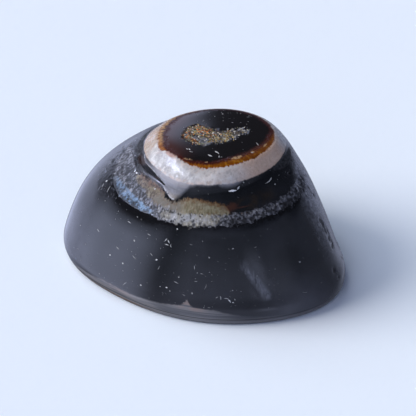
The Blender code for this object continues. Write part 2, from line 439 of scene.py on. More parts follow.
    # Stretches and patches that a field is worked out from.
    ridge_reach: Arc = Arc(192, 236, 5)
    # Painted reflection on the flank, where the polish mirrors the bright wall: its patches, its gain on
    # the right and its fade above.
    left_reflection: Oval = Oval(163, 8.2, 40, 3.2)
    right_reflection: Oval = Oval(352, 9.1, 27, 2.2)
    right_reflection_gain: float = 1.6
    reflection_top: Span = (6.2, 7.0)
    # The steep end's rough skin, which also carries painted light.
    steep_side: Arc = Arc(327, 450, 8)
    steep_back: Span = (0, 30)
    steep_rise: Span = (-0.2, 0.8)
    steep_foot: Span = (10.0, 11.8)
    steep_fade: float = 0.8
    dimmed: Arc = Arc(277, 326, 6)
    less_dimmed: Arc = Arc(288, 300, 4)
    spared: float = 0.35
    # Painted shade: a black strip just under the blue skin's lower edge.
    blue_reach: Arc = Arc(190, 224, 6, (8.2, 8.5))
    shade_under_blue: Span = (-0.02, 0.14)
    facet_reach: Spans = ((9.9, 11.5), (11.8, 12.55))
    beak_side: Spans = ((238, 243), (300, 310))
    # Where the ring's front is painted lighter.
    lit_front_side: Spans = ((248, 264), (298, 312))
    # Fields that are plain stretches or patches; those of one name are joined.
    areas: tuple[tuple[str, Arc | Oval], ...] = (
        ("lens_left", Arc(215, 247, 4)),
        # Painted reflection low on the right front.
        ("lower_reflection", Arc(294, 316, 12, (10.8, 13.0))),
        ("tongue_left", Arc(170, 211, 12)),
        ("dim_left", Arc(140, 208, 12)),
        ("red_edge", Arc(210, 228, 8)),
        ("red_edge", Arc(254, 264, 3)),
        ("brown_foot", Arc(170, 238, 12)),
        ("base_shown", Arc(150, 274, 13)),
        ("foot_shown", Arc(150, 316, 12)),
        # Painted glow on the disc's lit left side.
        ("glow", Arc(125, 225, 25, (1.0, 2.4))),
        ("warm_side", Arc(292, 354, 14)),
        ("peach_side", Arc(110, 190, 12)),
        ("grey_top", Arc(224, 266, 10)),
        ("dim_upper", Oval(197, 7.85, 24, 0.55)),
        ("in_cave", Oval(190, 6.15, 9, 0.5)),
        ("pale_skin", Oval(254, 8.4, 26, 0.85)),
        ("in_tan", Oval(224, 7.35, 11, 0.55)),
        ("in_tan", Oval(208, 7.25, 10, 0.32)),
        ("in_rust", Oval(279, 7.45, 6.5, 0.42)),
        ("in_rust", Oval(285, 7.62, 7, 0.12)),
        ("in_olive", Oval(294, 7.4, 26, 0.8)),
        ("in_blue", Oval(208, 8.70, 24, 0.50)),
        ("in_crackle", Oval(187, 9.3, 13, 0.65)),
        # Painted shade in the hollows under the white ring's foot.
        ("in_shaded_hollow", Oval(168, 5.9, 26, 0.80)),
        ("in_shaded_hollow", Oval(345, 5.7, 26, 0.9)),
        ("in_flaws", Oval(180, 7.9, 26, 2.1)),
        ("in_warm", Oval(216, 6.93, 17, 0.42)),
        # Painted reflection, misty, low on the left flank.
        ("in_misty_reflection", Oval(180, 12.0, 30, 2.6)),
        ("in_lobe", Oval(217, 3.05, 12, 0.42)),
        ("in_lump", Oval(239, 2.66, 6, 0.20)),
        ("in_lump", Oval(259, 2.50, 3, 0.20)),
        ("in_lump", Oval(292, 2.15, 8, 0.20)),
        ("in_lump", Oval(316, 2.18, 3, 0.16)),
        ("in_lump", Oval(337, 2.30, 5, 0.12)),
    )

    def gap(self, bearings: Array, stations: Array, line: Line) -> Array:
        """Measures the distance along the skin from each point to a (bearing, station) line, in mm."""
        degree = math.radians(1.0) * self.skin_radius
        middle = line[len(line) // 2][0]
        turned = (bearings - middle + 180) % 360 - 180
        scaled = tuple(((b - middle) * degree, s * self.station_spacing) for b, s in line)
        return distance_to_line(turned * degree, stations * self.station_spacing, scaled)

    def tongue(self, bearings: Array, stations: Array) -> Array:
        """Gives how far inside the grey tongue's lower edge each point is, in stations."""
        degrees, edge = np.transpose(self.tongue_edge)
        return np.interp(bearings, degrees, edge, left=3.0, right=3.0) - stations

    def fields(self, bearings: Array, stations: Array, points: Array) -> dict[str, Array]:
        """Works out every smooth value that the stone's material reads.

        Args:
            bearings: One bearing a vertex.
            stations: One station a vertex.
            points: Rows of x, y, z from the eye's axis.

        Returns:
            The values by name, one a vertex.
        """
        def read(area: Arc | Oval) -> Array:
            """Reads one stretch or patch."""
            return area.read(bearings, stations)

        def past(line: Line) -> Array:
            """Gives how many stations below a line each point is."""
            return stations - boundary(line, bearings)

        def in_eye(outline: Line) -> Array:
            """Gives how far inside an outline on the eye each point is."""
            depth = depth_inside(points[:, 0], points[:, 1], outline)
            return np.where(stations < self.eye_end, depth, -self.eye_end)

        found = {}
        for name, area in self.areas:
            values = read(area)
            found[name] = np.maximum(found.get(name, values), values)
        crevice = np.minimum.reduce([
            self.gap(bearings, stations, line) - boundary(half, bearings)
            for line, half in zip(self.crevices, self.crevice_halves)])
        ridge = np.minimum(past(self.crevices[0]), -past(self.crevices[1]))
        rough = np.minimum(past(self.rough_start), -past(self.rough_end))
        painted_reflection = np.maximum(read(self.left_reflection), self.right_reflection_gain * read(self.right_reflection))
        steep_side = read(self.steep_side) * (1 - ease(bearings, *self.steep_back) * (bearings < 180))
        steep_foot = 1 - self.steep_fade * ease(stations, *self.steep_foot)
        past_facet = bearings - np.interp(stations, *np.transpose(self.facet_line))
        return found | {
            "past_disc": past(self.disc_edge),
            "past_amber": past(self.amber_edge),
            "past_white": past(self.white_edge),
            "past_lens": past(self.lens_top),
            "past_rough": past(self.rough_end),
            "past_base": past(self.base_edge),
            "past_line": stations - self.base_line,
            "past_facet": np.clip(past_facet * math.radians(1.0) * self.skin_radius, -2.0, 3.0),
            "in_rough": rough - self.rough_fade * (1 - read(self.rough_reach)),
            "in_tongue": np.where(stations < self.tongue_top - 1, -1.0, self.tongue(bearings, stations)),
            "in_ridge": ridge - (1 - read(self.ridge_reach)),
            "in_lens": np.minimum(past(self.lens_top), self.lens_foot - stations),
            "in_shade": np.minimum(stations - self.shade_top, -past(self.shade_foot)),
            "in_painted_reflection": painted_reflection * ease(stations, *self.reflection_top),
            "in_seam": in_eye(self.seam_outline),
            "smooth_seam": in_eye(self.smooth_seam),
            "seam_end": ease(points[:, 0], *self.seam_end),
            "crevice_gap": crevice,
            "dim_skin": read(self.dimmed) * (1 - self.spared * read(self.less_dimmed)),
            "shade_under_blue": read(self.blue_reach) * (1 - ease(past(self.rough_end), *self.shade_under_blue)),
            "steep_skin_and_light": steep_side * steep_foot * ease(past(self.steep_start), *self.steep_rise),
            "on_facet": hump(stations, *self.facet_reach),
            "beak_side": hump(bearings, *self.beak_side),
            "lit_front_side": hump(bearings, *self.lit_front_side),
        }


@dataclass(frozen=True)
class Relief:
    """How far the stone's real skin stands off its polished form, in millimetres."""

    waviness: float = 0.006
    wave_width: float = 3.0
    fine_width: float = 0.30
    seam_depth: float = 0.03
    seam_floor: float = 0.05
    tongue_height: float = 0.05
    tongue_rise: float = 0.6
    ridge_height: float = 0.022
    crevice_depth: float = 0.05
    crevice_half_width: float = 0.07
    crevice_unevenness: float = 0.5
    lower_shallowness: float = 0.6
    lower_start: Span = (6.4, 6.55)
    cave_depth: float = 0.06
    rough_drop: float = 0.002
    rough_height: float = 0.035
    pit_count: int = 430
    pit_depth: float = 0.07
    pit_radii: Span = (0.04, 0.12)
    pit_bearings: Span = (172.0, 348.0)
    pit_stations: Span = (7.9, 9.25)
    chip_count: int = 60
    chip_depth: float = 0.05
    chip_radii: Span = (0.05, 0.16)
    chip_bearings: Span = (326.0, 378.0)
    chip_stations: Span = (6.0, 13.5)
    facet_height: float = 0.02
    facet_rise: float = 0.30
    facet_fall: float = 0.4
    line_depth: float = 0.02
    line_half_width: float = 0.12
    flat_from: float = 15.2
    seed: int = 11
    dent_margin: Span = (5.0, 0.5)
    edges: tuple[tuple[str, float, Span], ...] = (
        ("in_seam", 0.10, (-0.08, 0.20)),
        ("in_tongue", 0.0, (-0.1, 0.5)),
        ("in_ridge", 0.06, (-0.02, 0.14)),
        ("in_cave", 0.0, (0.0, 0.8)),
        ("in_rough", 0.12, (-0.05, 0.25)),
    )
    pit_edge: Span = (-0.05, 0.15)
    deep_pit_edge: Span = (-0.1, 0.6)
    deep_pits: tuple[Oval, ...] = (
        Oval(331.8, 10.38, 1.8, 0.13), Oval(332.8, 10.56, 2.2, 0.14), Oval(333.2, 11.12, 2.0, 0.12),
        Oval(333.6, 11.42, 1.9, 0.12), Oval(326.4, 12.15, 1.6, 0.16), Oval(334.5, 7.1, 2.4, 0.16),
        Oval(326.8, 8.42, 1.0, 0.12), Oval(341.0, 9.60, 2.0, 0.12), Oval(351.0, 11.9, 1.6, 0.16),
        Oval(12.0, 10.8, 1.5, 0.2), Oval(35.0, 9.4, 1.6, 0.2))

    def dents(self, bearings: Array, stations: Array, pattern: Pattern, count: int, radii: Span,
              reach: Spans, rng: np.random.Generator) -> Array:
        """Scatters round dents over a stretch of the unrolled skin.

        Args:
            bearings: One bearing a vertex.
            stations: One station a vertex.
            pattern: What gives the skin's scale.
            count: How many dents.
            radii: Least and greatest radius.
            reach: The stretch's bearings and stations.
            rng: The source of chance.

        Returns:
            From 0 outside the dents to 1 at a dent's middle, one a vertex.
        """
        scale = np.array([math.radians(1.0) * pattern.skin_radius, pattern.station_spacing])
        low, high = (np.array([reach[0][k], reach[1][k]]) for k in (0, 1))
        spare = 2 * self.dent_margin[0]
        turned = (bearings - low[0] + spare) % 360 + low[0] - spare
        flat = np.stack([turned, stations], axis=1)
        near = ((flat > low - self.dent_margin) & (flat < high + self.dent_margin)).all(axis=1)
        kept = flat[near] * scale
        found = np.zeros(len(kept))
        centres = rng.uniform(low, high, (count, 2)) * scale
        for centre, radius in zip(centres, rng.uniform(*radii, count)):
            found = np.maximum(found, 1 - ease(np.hypot(*(kept - centre).T), 0.0, radius))
        depth = np.zeros(len(flat))
        depth[near] = found
        return depth

    def heights(self, bearings: Array, stations: Array, points: Array, pattern: Pattern,
                fields: dict[str, Array]) -> Array:
        """Adds up the whole relief, and adds the dents to the fields.

        Args:
            bearings: One bearing a vertex.
            stations: One station a vertex.
            points: Rows of x, y, z from the eye's axis.
            pattern: Where the finishes meet.
            fields: What the pattern worked out.

        Returns:
            The skin's height over the polished form at each vertex.
        """
        rng = np.random.default_rng(self.seed)
        fine = ripple(points, self.fine_width)
        inside = {name: ease(fields[name] + uneven * fine, *edge) for name, uneven, edge in self.edges}
        height = self.waviness * ripple(points, self.wave_width, 1)
        height = height + inside["in_seam"] * (self.seam_floor * fine - self.seam_depth)
        below = ease(stations, pattern.tongue_top, pattern.tongue_top + self.tongue_rise)
        height = height + self.tongue_height * below * inside["in_tongue"]
        height = height + self.ridge_height * inside["in_ridge"]
        wide = self.crevice_half_width * (1 + self.crevice_unevenness * fine)
        depth = self.crevice_depth * (1 - self.lower_shallowness * ease(stations, *self.lower_start))
        height = height - depth * (1 - ease(fields["crevice_gap"], 0.0, wide))
        height = height - self.cave_depth * inside["in_cave"]
        height = height - inside["in_rough"] * (self.rough_drop - self.rough_height * fine)
        pits = self.dents(bearings, stations, pattern, self.pit_count, self.pit_radii,
                          (self.pit_bearings, self.pit_stations), rng)
        pits = pits * ease(fields["in_rough"], *self.pit_edge)
        for pit in self.deep_pits:
            pits = np.maximum(pits, ease(pit.read(bearings, stations), *self.deep_pit_edge))
        chips = self.dents(bearings, stations, pattern, self.chip_count, self.chip_radii,
                           (self.chip_bearings, self.chip_stations), rng)
        height = height - self.pit_depth * pits - self.chip_depth * chips
        past = fields["past_facet"]
        crest = hump(past, (-self.facet_rise, 0.0), (0.0, self.facet_fall))
        height = height + self.facet_height * crest * fields["on_facet"]
        line = 1 - ease(np.abs(fields["past_line"]), 0.0, self.line_half_width)
        height = height - self.line_depth * line
        fields["in_dent"] = np.maximum(pits, chips)
        return np.where(stations > self.flat_from, 0.0, height)


@dataclass(frozen=True)
class Number:
    """A number that a node tree works out, to be added to and multiplied like any other."""

    graph: "Graph"
    socket: Socket

    def __add__(self, other: "Number | float") -> "Number":
        """Adds a number."""
        return self.graph.maths("ADD", self, other)

    def __sub__(self, other: float) -> "Number":
        """Takes away a plain number."""
        return self + -other

    def __mul__(self, other: "Number | float") -> "Number":
        """Multiplies by a number."""
        return self.graph.maths("MULTIPLY", self, other)

    def sway(self, reach: float) -> "Number":
        """Reads a noise from its middle, so that it sways by half of reach to either side."""
        return (self - NOISE_MIDDLE) * reach


Value = Number | Socket | float | Colour


class Graph:
    """A node tree, with a short call for each kind of node that the finishes use."""

    def __init__(self, tree: bpy.types.NodeTree) -> None:
        """Takes up a node tree."""
        self.tree = tree

    def node(self, kind: str, **settings: object) -> bpy.types.Node:
        """Adds a node and gives it its settings."""
        made = self.tree.nodes.new(kind)
        for name, value in settings.items():
            setattr(made, name, value)
        return made

    def feed(self, socket: Socket, value: Value) -> None:
        """Links a socket to another, or sets a plain value on it."""
        if isinstance(value, Number):
            value = value.socket
        if isinstance(value, bpy.types.NodeSocket):
            self.tree.links.new(value, socket)
        elif isinstance(value, tuple) and socket.type == "RGBA":
            socket.default_value = (*value, 1.0)
        else:
            socket.default_value = value

    def stretch(self, vector: Socket, factors: Colour) -> Socket:
        """Multiplies a vector's parts."""
        made = self.node("ShaderNodeVectorMath", operation="MULTIPLY")
        self.feed(made.inputs[0], vector)
        self.feed(made.inputs[1], factors)
        return made.outputs[0]

    def maths(self, operation: str, *values: Value) -> Number:
        """Does one sum on up to three numbers."""
        made = self.node("ShaderNodeMath", operation=operation)
        for socket, value in zip(made.inputs, values):
            self.feed(socket, value)
        return Number(self, made.outputs[0])

    def step(self, value: Value, low: float, high: float) -> Number:
        """Gives 0 at low and 1 at high, with a smooth step between, or the other way round."""
        made = self.node("ShaderNodeMapRange", interpolation_type="SMOOTHSTEP")
        self.feed(made.inputs["Value"], value)
        turned = low > high
        self.feed(made.inputs["From Min"], min(low, high))
        self.feed(made.inputs["From Max"], max(low, high))
        self.feed(made.inputs["To Min"], 1.0 if turned else 0.0)
        self.feed(made.inputs["To Max"], 0.0 if turned else 1.0)
        return Number(self, made.outputs["Result"])

    def mottle(self, vector: Socket, size: float, detail: float = 3.0, harshness: float = 0.5) -> Number:
        """Reads soft noise from 0 to 1, whose broadest marks are about size millimetres wide."""
        made = self.node("ShaderNodeTexNoise")
        self.feed(made.inputs["Vector"], vector)
        self.feed(made.inputs["Scale"], 1 / size)
        self.feed(made.inputs["Detail"], detail)
        self.feed(made.inputs["Roughness"], harshness)
        return Number(self, made.outputs["Fac"])

    def jostle(self, vector: Socket, size: float, reach: float) -> Socket:
        """Shifts places by up to reach millimetres, so that whatever reads them gets uneven edges."""
        made = self.node("ShaderNodeTexNoise")
        self.feed(made.inputs["Vector"], vector)
        self.feed(made.inputs["Scale"], 1 / size)
        middle = self.node("ShaderNodeVectorMath", operation="SUBTRACT")
        self.feed(middle.inputs[0], made.outputs["Color"])
        self.feed(middle.inputs[1], (NOISE_MIDDLE,) * 3)
        moved = self.node("ShaderNodeVectorMath", operation="ADD")
        self.feed(moved.inputs[0], vector)
        self.feed(moved.inputs[1], self.stretch(middle.outputs[0], (2 * reach,) * 3))
        return moved.outputs[0]

    def dots(self, vector: Socket, size: float, share: float, width: float = 0.40) -> Number:
        """Scatters small dots, one in each of a share of the cells that are size millimetres wide."""
        made = self.node("ShaderNodeTexVoronoi")
        self.feed(made.inputs["Vector"], vector)
        self.feed(made.inputs["Scale"], 1 / size)
        split = self.node("ShaderNodeSeparateColor")
        self.feed(split.inputs[0], made.outputs["Color"])
        kept = self.step(split.outputs[0], share + 0.02, share - 0.02)
        return kept * self.step(made.outputs["Distance"], width * 1.25, width * 0.65)

    def mix(self, factor: Value, first: Value, second: Value) -> Socket:
        """Mixes two colours."""
        made = self.node("ShaderNodeMix", data_type="RGBA")
        self.feed(made.inputs[0], factor)
        self.feed(made.inputs[6], first)
        self.feed(made.inputs[7], second)
        return made.outputs[2]

    def blend(self, factor: Value, first: Value, second: Value) -> Number:
        """Mixes two numbers."""
        made = self.node("ShaderNodeMix", data_type="FLOAT")
        self.feed(made.inputs[0], factor)
        self.feed(made.inputs[2], first)
        self.feed(made.inputs[3], second)
        return Number(self, made.outputs[0])


class Finish(Graph):
    """A material's own node tree."""

    def __init__(self, name: str) -> None:
        """Starts a material with its one shader.

        Args:
            name: The material's name.
        """
        self.material = bpy.data.materials.new(name)
        self.material.use_nodes = True
        super().__init__(self.material.node_tree)
        self.shader = self.tree.nodes["Principled BSDF"]

    def value(self, name: str) -> Number:
        """Reads one of the mesh's own numbers."""
        return Number(self, self.node("ShaderNodeAttribute", attribute_name=name).outputs["Fac"])

    def tint(self) -> Socket:
        """Reads the mesh's own colour."""
        return self.node("ShaderNodeAttribute", attribute_name="tint").outputs["Color"]

    def vector(self, name: str) -> Socket:
        """Reads one of the mesh's own vectors."""
        return self.node("ShaderNodeAttribute", attribute_name=name).outputs["Vector"]

    def millimetres(self) -> Socket:
        """Reads the place in the stone's own frame, in millimetres."""
        place = self.node("ShaderNodeTexCoord").outputs["Object"]
        return self.stretch(place, (1 / METRES,) * 3)

    def bump(self, height: Value, depth: float) -> Socket:
        """Turns a height from 0 to 1 into a bent normal, for a relief depth millimetres deep."""
        made = self.node("ShaderNodeBump")
        self.feed(made.inputs["Distance"], depth * METRES)
        self.feed(made.inputs["Height"], height)
        return made.outputs["Normal"]

    def set(self, **sockets: Value) -> None:
        """Feeds the shader's own sockets, named with underscores for spaces."""
        for name, value in sockets.items():
            self.feed(self.shader.inputs[name.replace("_", " ")], value)


@dataclass
class Coats:
    """A surface's colour, roughness and fine height, as coat after coat is laid over it."""

    finish: Finish
    colour: Value
    roughness: Value
    height: Value = 0.5

    def lay(self, cover: Value, colour: Value | None = None, roughness: Value | None = None,
            height: Value | None = None) -> None:
        """Lays one coat over the others.

        Args:
            cover: How much of the coat there is at each place, from 0 to 1.
            colour: The coat's colour, where it has one.
            roughness: The coat's roughness, where it has one.
            height: The coat's fine height, where it has one.
        """
        if colour is not None:
            self.colour = self.finish.mix(cover, self.colour, colour)
        if roughness is not None:
            self.roughness = self.finish.blend(cover, self.roughness, roughness)
        if height is not None:
            self.height = self.finish.blend(cover, self.height, height)


@dataclass(frozen=True)
class Grit:
    """The natural unevenness that the agate's coats share, each reading from 0 to 1."""

    place: Socket
    skin: Socket
    broad: Number
    cloud: Number
    fine: Number
    sand: Number
    fringe: Number
    streak: Number
    specks: Number
    pores: Number
    grains: Number

    @classmethod
    def of(cls, g: Finish) -> "Grit":
        """Makes the set for a finish."""
        place, skin = g.millimetres(), g.vector("skin")
        along = g.stretch(skin, (1.0, 1.0, 0.35))
        uneven = g.jostle(skin, 0.12, 0.07)
        return cls(
            place=place,
            skin=skin,
            broad=g.mottle(place, 2.2),
            cloud=g.mottle(place, 0.8, 4.0, 0.6),
            fine=g.mottle(place, 0.26, 4.0, 0.6),
            sand=g.mottle(skin, 0.085, 2.0, 0.6),
            fringe=g.mottle(along, 0.20, 4.0, 0.7),
            streak=g.mottle(along, 0.11, 2.0, 0.6),
            specks=g.mottle(uneven, 0.21, 2.0, 0.6),
            pores=g.dots(uneven, 0.17, 0.55),
            grains=g.dots(uneven, 0.21, 0.40, 0.34),
        )


@dataclass(frozen=True)
class AgateFinish:
    """The stone's colours, gloss and fine relief."""

    ior: float = 1.54
    polish: float = 0.10
    glassy: float = 0.14
    sleek: float = 0.20
    oily: float = 0.25
    satin: float = 0.28
    waxy: float = 0.32
    rubbed: float = 0.38
    worn: float = 0.40
    matt: float = 0.55
    dull: float = 0.80
    bump_depth: float = 0.05
    body: Colour = (0.007, 0.008, 0.010)
    body_grey: Colour = (0.013, 0.014, 0.018)
    body_low: Colour = (0.017, 0.018, 0.023)
    # Painted reflection: mottled pale patches on the flank, a lower one on the right front and a misty one
    # low on the left.
    painted_reflection: Colour = (0.085, 0.089, 0.112)
    lower_reflection: Colour = (0.105, 0.108, 0.133)
    misty_reflection: Colour = (0.12, 0.13, 0.18)
    # groove is near black: painted shade under the skin's foot, in the crevices and in the pits, and also
    # the black of the flaws, crackle, seam crumbs and base line.
    groove: Colour = (0.004, 0.004, 0.005)
    # hollow is painted shade in the hollows under the white ring.
    hollow: Colour = (0.046, 0.047, 0.052)
    base: Colour = (0.085, 0.088, 0.102)
    base_pale: Colour = (0.16, 0.158, 0.170)
    base_pink: Colour = (0.21, 0.155, 0.142)
    base_brown: Colour = (0.11, 0.070, 0.042)
    # The facet's scuffed streak, which is real wear, and the painted sheen beside it.
    scuff_and_sheen: Colour = (0.125, 0.132, 0.162)
    # The steep end's rough grey skin, lightened as painted light.
    steep: Colour = (0.31, 0.32, 0.38)
    pore: Colour = (0.010, 0.010, 0.012)
    skin_low: Colour = (0.095, 0.10, 0.125)
    skin_grey: Colour = (0.19, 0.20, 0.24)
    skin_pale: Colour = (0.42, 0.43, 0.46)
    skin_white: Colour = (0.27, 0.28, 0.295)
    skin_cream: Colour = (0.25, 0.235, 0.185)
    skin_dim: Colour = (0.040, 0.043, 0.055)
    skin_blue: Colour = (0.17, 0.285, 0.445)
    lens: Colour = (0.118, 0.104, 0.062)
    lens_pale: Colour = (0.205, 0.190, 0.135)
    lens_grey: Colour = (0.105, 0.098, 0.090)
    lens_rim: Colour = (0.105, 0.050, 0.018)
    tan: Colour = (0.122, 0.094, 0.062)
    tan_olive: Colour = (0.125, 0.108, 0.055)
    rust: Colour = (0.058, 0.022, 0.015)
    olive: Colour = (0.022, 0.016, 0.011)
    tongue: Colour = (0.15, 0.155, 0.185)
    tongue_pale: Colour = (0.30, 0.30, 0.34)
    tongue_dark: Colour = (0.034, 0.035, 0.043)
    # Painted highlight along the tongue's lower edge.
    tongue_lip_highlight: Colour = (0.36, 0.36, 0.40)
    tongue_beige: Colour = (0.26, 0.23, 0.20)
    ridge: Colour = (0.11, 0.115, 0.138)
    ridge_low: Colour = (0.060, 0.061, 0.072)
    umber: Colour = (0.026, 0.015, 0.013)
    warm: Colour = (0.110, 0.062, 0.038)
    white: Colour = (0.44, 0.45, 0.48)
    white_clear: Colour = (0.60, 0.60, 0.62)
    # Painted light on the ring's front, and painted shade in a cream tint on its left.
    white_front_lit: Colour = (0.66, 0.60, 0.57)
    white_cloud: Colour = (0.33, 0.33, 0.355)
    white_cream_shaded: Colour = (0.262, 0.205, 0.145)
    white_warm: Colour = (0.66, 0.45, 0.33)
    white_peach: Colour = (0.40, 0.24, 0.16)
    white_lobe: Colour = (0.34, 0.22, 0.20)
    white_low: Colour = (0.30, 0.29, 0.285)
    white_speck: Colour = (0.11, 0.085, 0.075)
    amber: Colour = (0.160, 0.044, 0.001)
    amber_brown: Colour = (0.055, 0.014, 0.003)
    amber_gold: Colour = (0.31, 0.130, 0.008)
    amber_pale: Colour = (0.36, 0.24, 0.13)
    amber_tan: Colour = (0.38, 0.235, 0.085)
    red: Colour = (0.040, 0.006, 0.003)
    disc: Colour = (0.005, 0.004, 0.004)
    # Painted glow on the disc's lit left side.
    disc_glow: Colour = (0.058, 0.024, 0.022)
    seam: Colour = (0.150, 0.110, 0.074)
    quartz: Colour = (0.085, 0.092, 0.115)

    def material(self) -> bpy.types.Material:
        """Builds the whole finish, coat over coat from the body up to the eye."""
        g = Finish("polished_agate")
        grit = Grit.of(g)
        coats = Coats(g, g.mix(g.step(grit.broad, 0.40, 0.70), self.body, self.body_grey), self.polish)
        self.lay_flank(g, grit, coats)
        self.lay_base(g, grit, coats)
        self.lay_skin(g, grit, coats)
        self.lay_tongue(g, grit, coats)
        self.lay_eye(g, grit, coats)
        # Painted shade in the pits and chips.
        dents = g.step(g.value("in_dent"), 0.15, 0.60)
        coats.lay(dents * 0.8, self.groove, self.matt)
        g.set(Base_Color=coats.colour, Roughness=coats.roughness, IOR=self.ior)
        g.set(Normal=g.bump(coats.height, self.bump_depth))
        return g.material

    def lay_flank(self, g: Finish, grit: Grit, coats: Coats) -> None:
        """Lays painted reflections, the mottled steep end with painted light, the scuffed facet with its
        painted sheen, and painted shade at the skin's foot.
        """
        coats.lay(g.step(g.value("past_base"), -2.6, 0.2), self.body_low)
        # Painted reflection low on the right front, mottled.
        coats.lay(g.value("lower_reflection") * g.blend(grit.cloud, 0.35, 0.65), self.lower_reflection)
        mottled = g.step(grit.fine * 0.6 + grit.sand * 0.4, 0.4, 0.6)
        # Painted reflection of the bright wall on the flank, mottled.
        painted_reflection = g.step(g.value("in_painted_reflection"), 0.0, 0.75) * g.blend(mottled, 0.08, 0.6)
        coats.lay(painted_reflection, self.painted_reflection, g.blend(mottled, 0.12, 0.30))
        flaws = g.step(g.value("in_flaws"), 0.0, 0.5) * g.step(grit.specks, 0.52, 0.45)
        coats.lay(flaws * 0.9, self.groove, self.dull)
        sparks = g.step(g.value("in_flaws"), 0.0, 0.45) * g.step(grit.specks, 0.6, 0.66)
        coats.lay(sparks * 0.6, self.skin_grey, self.matt)
        # Painted misty reflection low on the left.
        coats.lay(g.step(g.value("in_misty_reflection"), 0.0, 1.0) * g.blend(grit.cloud, 0.25, 0.65), self.misty_reflection)
        # The steep end's rough pitted skin, lightened with painted light.
        uneven = g.value("steep_skin_and_light") * g.blend(g.step(grit.cloud, 0.36, 0.6), 0.55, 1.1)
        rough = uneven * g.blend(g.step(grit.fine, 0.36, 0.64), 0.25, 0.8)
        coats.lay(rough, self.steep, g.blend(mottled, 0.25, 0.45), grit.specks)
        pitted = uneven * g.step(grit.specks, 0.42, 0.35)
        coats.lay(pitted * 0.7, self.pore, self.matt)
        specked = g.value("steep_skin_and_light") * g.step(grit.specks, 0.63, 0.68)
        coats.lay(specked * 0.6, self.skin_pale, self.matt)
        past = g.value("past_facet") + grit.cloud.sway(0.35)
        on_facet = g.value("on_facet")
        # Painted sheen: a faint band beside the facet's scuffed core.
        sheen = g.step(past, 0.0, 0.5) * g.step(past, 1.4, 0.6) * on_facet
        coats.lay(sheen * g.step(grit.cloud, 0.35, 0.75) * 0.22, self.scuff_and_sheen, self.satin)
        glow = g.step(past, -0.26, 0.08) * g.step(past, 0.5, 0.12) * g.step(on_facet, 0.25, 0.95)
        scratches = g.mottle(g.stretch(grit.skin, (1.0, 1.0, 0.6)), 0.22, 3.0, 0.6)
        scuff_and_sheen = glow * g.blend(g.step(scratches, 0.4, 0.6), 0.3, 1.0)
        coats.lay(scuff_and_sheen, self.scuff_and_sheen, self.satin)
        coats.lay(glow * g.step(grit.specks, 0.46, 0.38) * 0.8, self.body, self.satin)
        # Painted shade: a black strip under the skin's foot.
        shade = g.value("in_shade") + grit.fine.sway(0.7) + grit.sand.sway(0.5)
        coats.lay(g.step(shade, -0.02, 0.12), self.groove, self.polish)
        crackle = g.step(g.value("in_crackle") + grit.cloud.sway(1.0), 0.0, 0.3)
        crazed = g.mix(g.step(grit.specks, 0.61, 0.67), self.groove, self.skin_low)
        coats.lay(crackle * 0.9, crazed, self.polish, grit.specks)
        # Painted shade: a dark mottle in the hollows under the white ring's foot.
        hollow = g.step(g.value("in_shaded_hollow") + grit.cloud.sway(0.8), 0.0, 0.5)
        mottle = g.mix(g.step(grit.specks, 0.42, 0.62), self.groove, self.hollow)
        coats.lay(hollow * 0.9, mottle, self.dull, grit.specks)

    def lay_base(self, g: Finish, grit: Grit, coats: Coats) -> None:
        """Lays the pale banded edge round the base, its pinkish strokes, its dark line and worn foot."""
        bands = g.mottle(g.stretch(grit.skin, (0.10, 0.10, 2.6)), 0.30, 3.0, 0.6)
        banded = g.mix(g.step(bands, 0.40, 0.62), self.base, self.base_pale)
        past = g.value("past_base") + grit.fine.sway(0.2)
        shown = g.blend(g.value("base_shown"), 0.25, 0.95)
        coats.lay(g.step(past, -0.05, 0.18) * shown, banded, self.sleek)
        strokes = g.step(past, -0.05, 0.08) * g.step(past, 0.75, 0.2) * g.step(bands, 0.42, 0.6)
        coats.lay(strokes * g.value("red_edge") * 0.55, self.base_pink)
        edge = g.maths("ABSOLUTE", g.value("past_line"))
        coats.lay(g.step(edge, 0.09, 0.02) * g.step(bands, 0.3, 0.5) * 0.75, self.groove, self.satin)
        foot = g.step(g.value("past_line"), 0.1, 0.3) * g.step(g.value("past_line"), 0.95, 0.55)
        coats.lay(foot * g.value("foot_shown") * 0.5, self.base_pale, self.satin)
        coats.lay(foot * g.value("brown_foot") * 0.7, self.base_brown, self.satin)

    def lay_skin(self, g: Finish, grit: Grit, coats: Coats) -> None:
        """Lays the granular natural skin: blue, cream, white or dim by its place, pitted all over."""
        ragged = grit.fine.sway(0.9)
        soft = grit.cloud.sway(0.7)
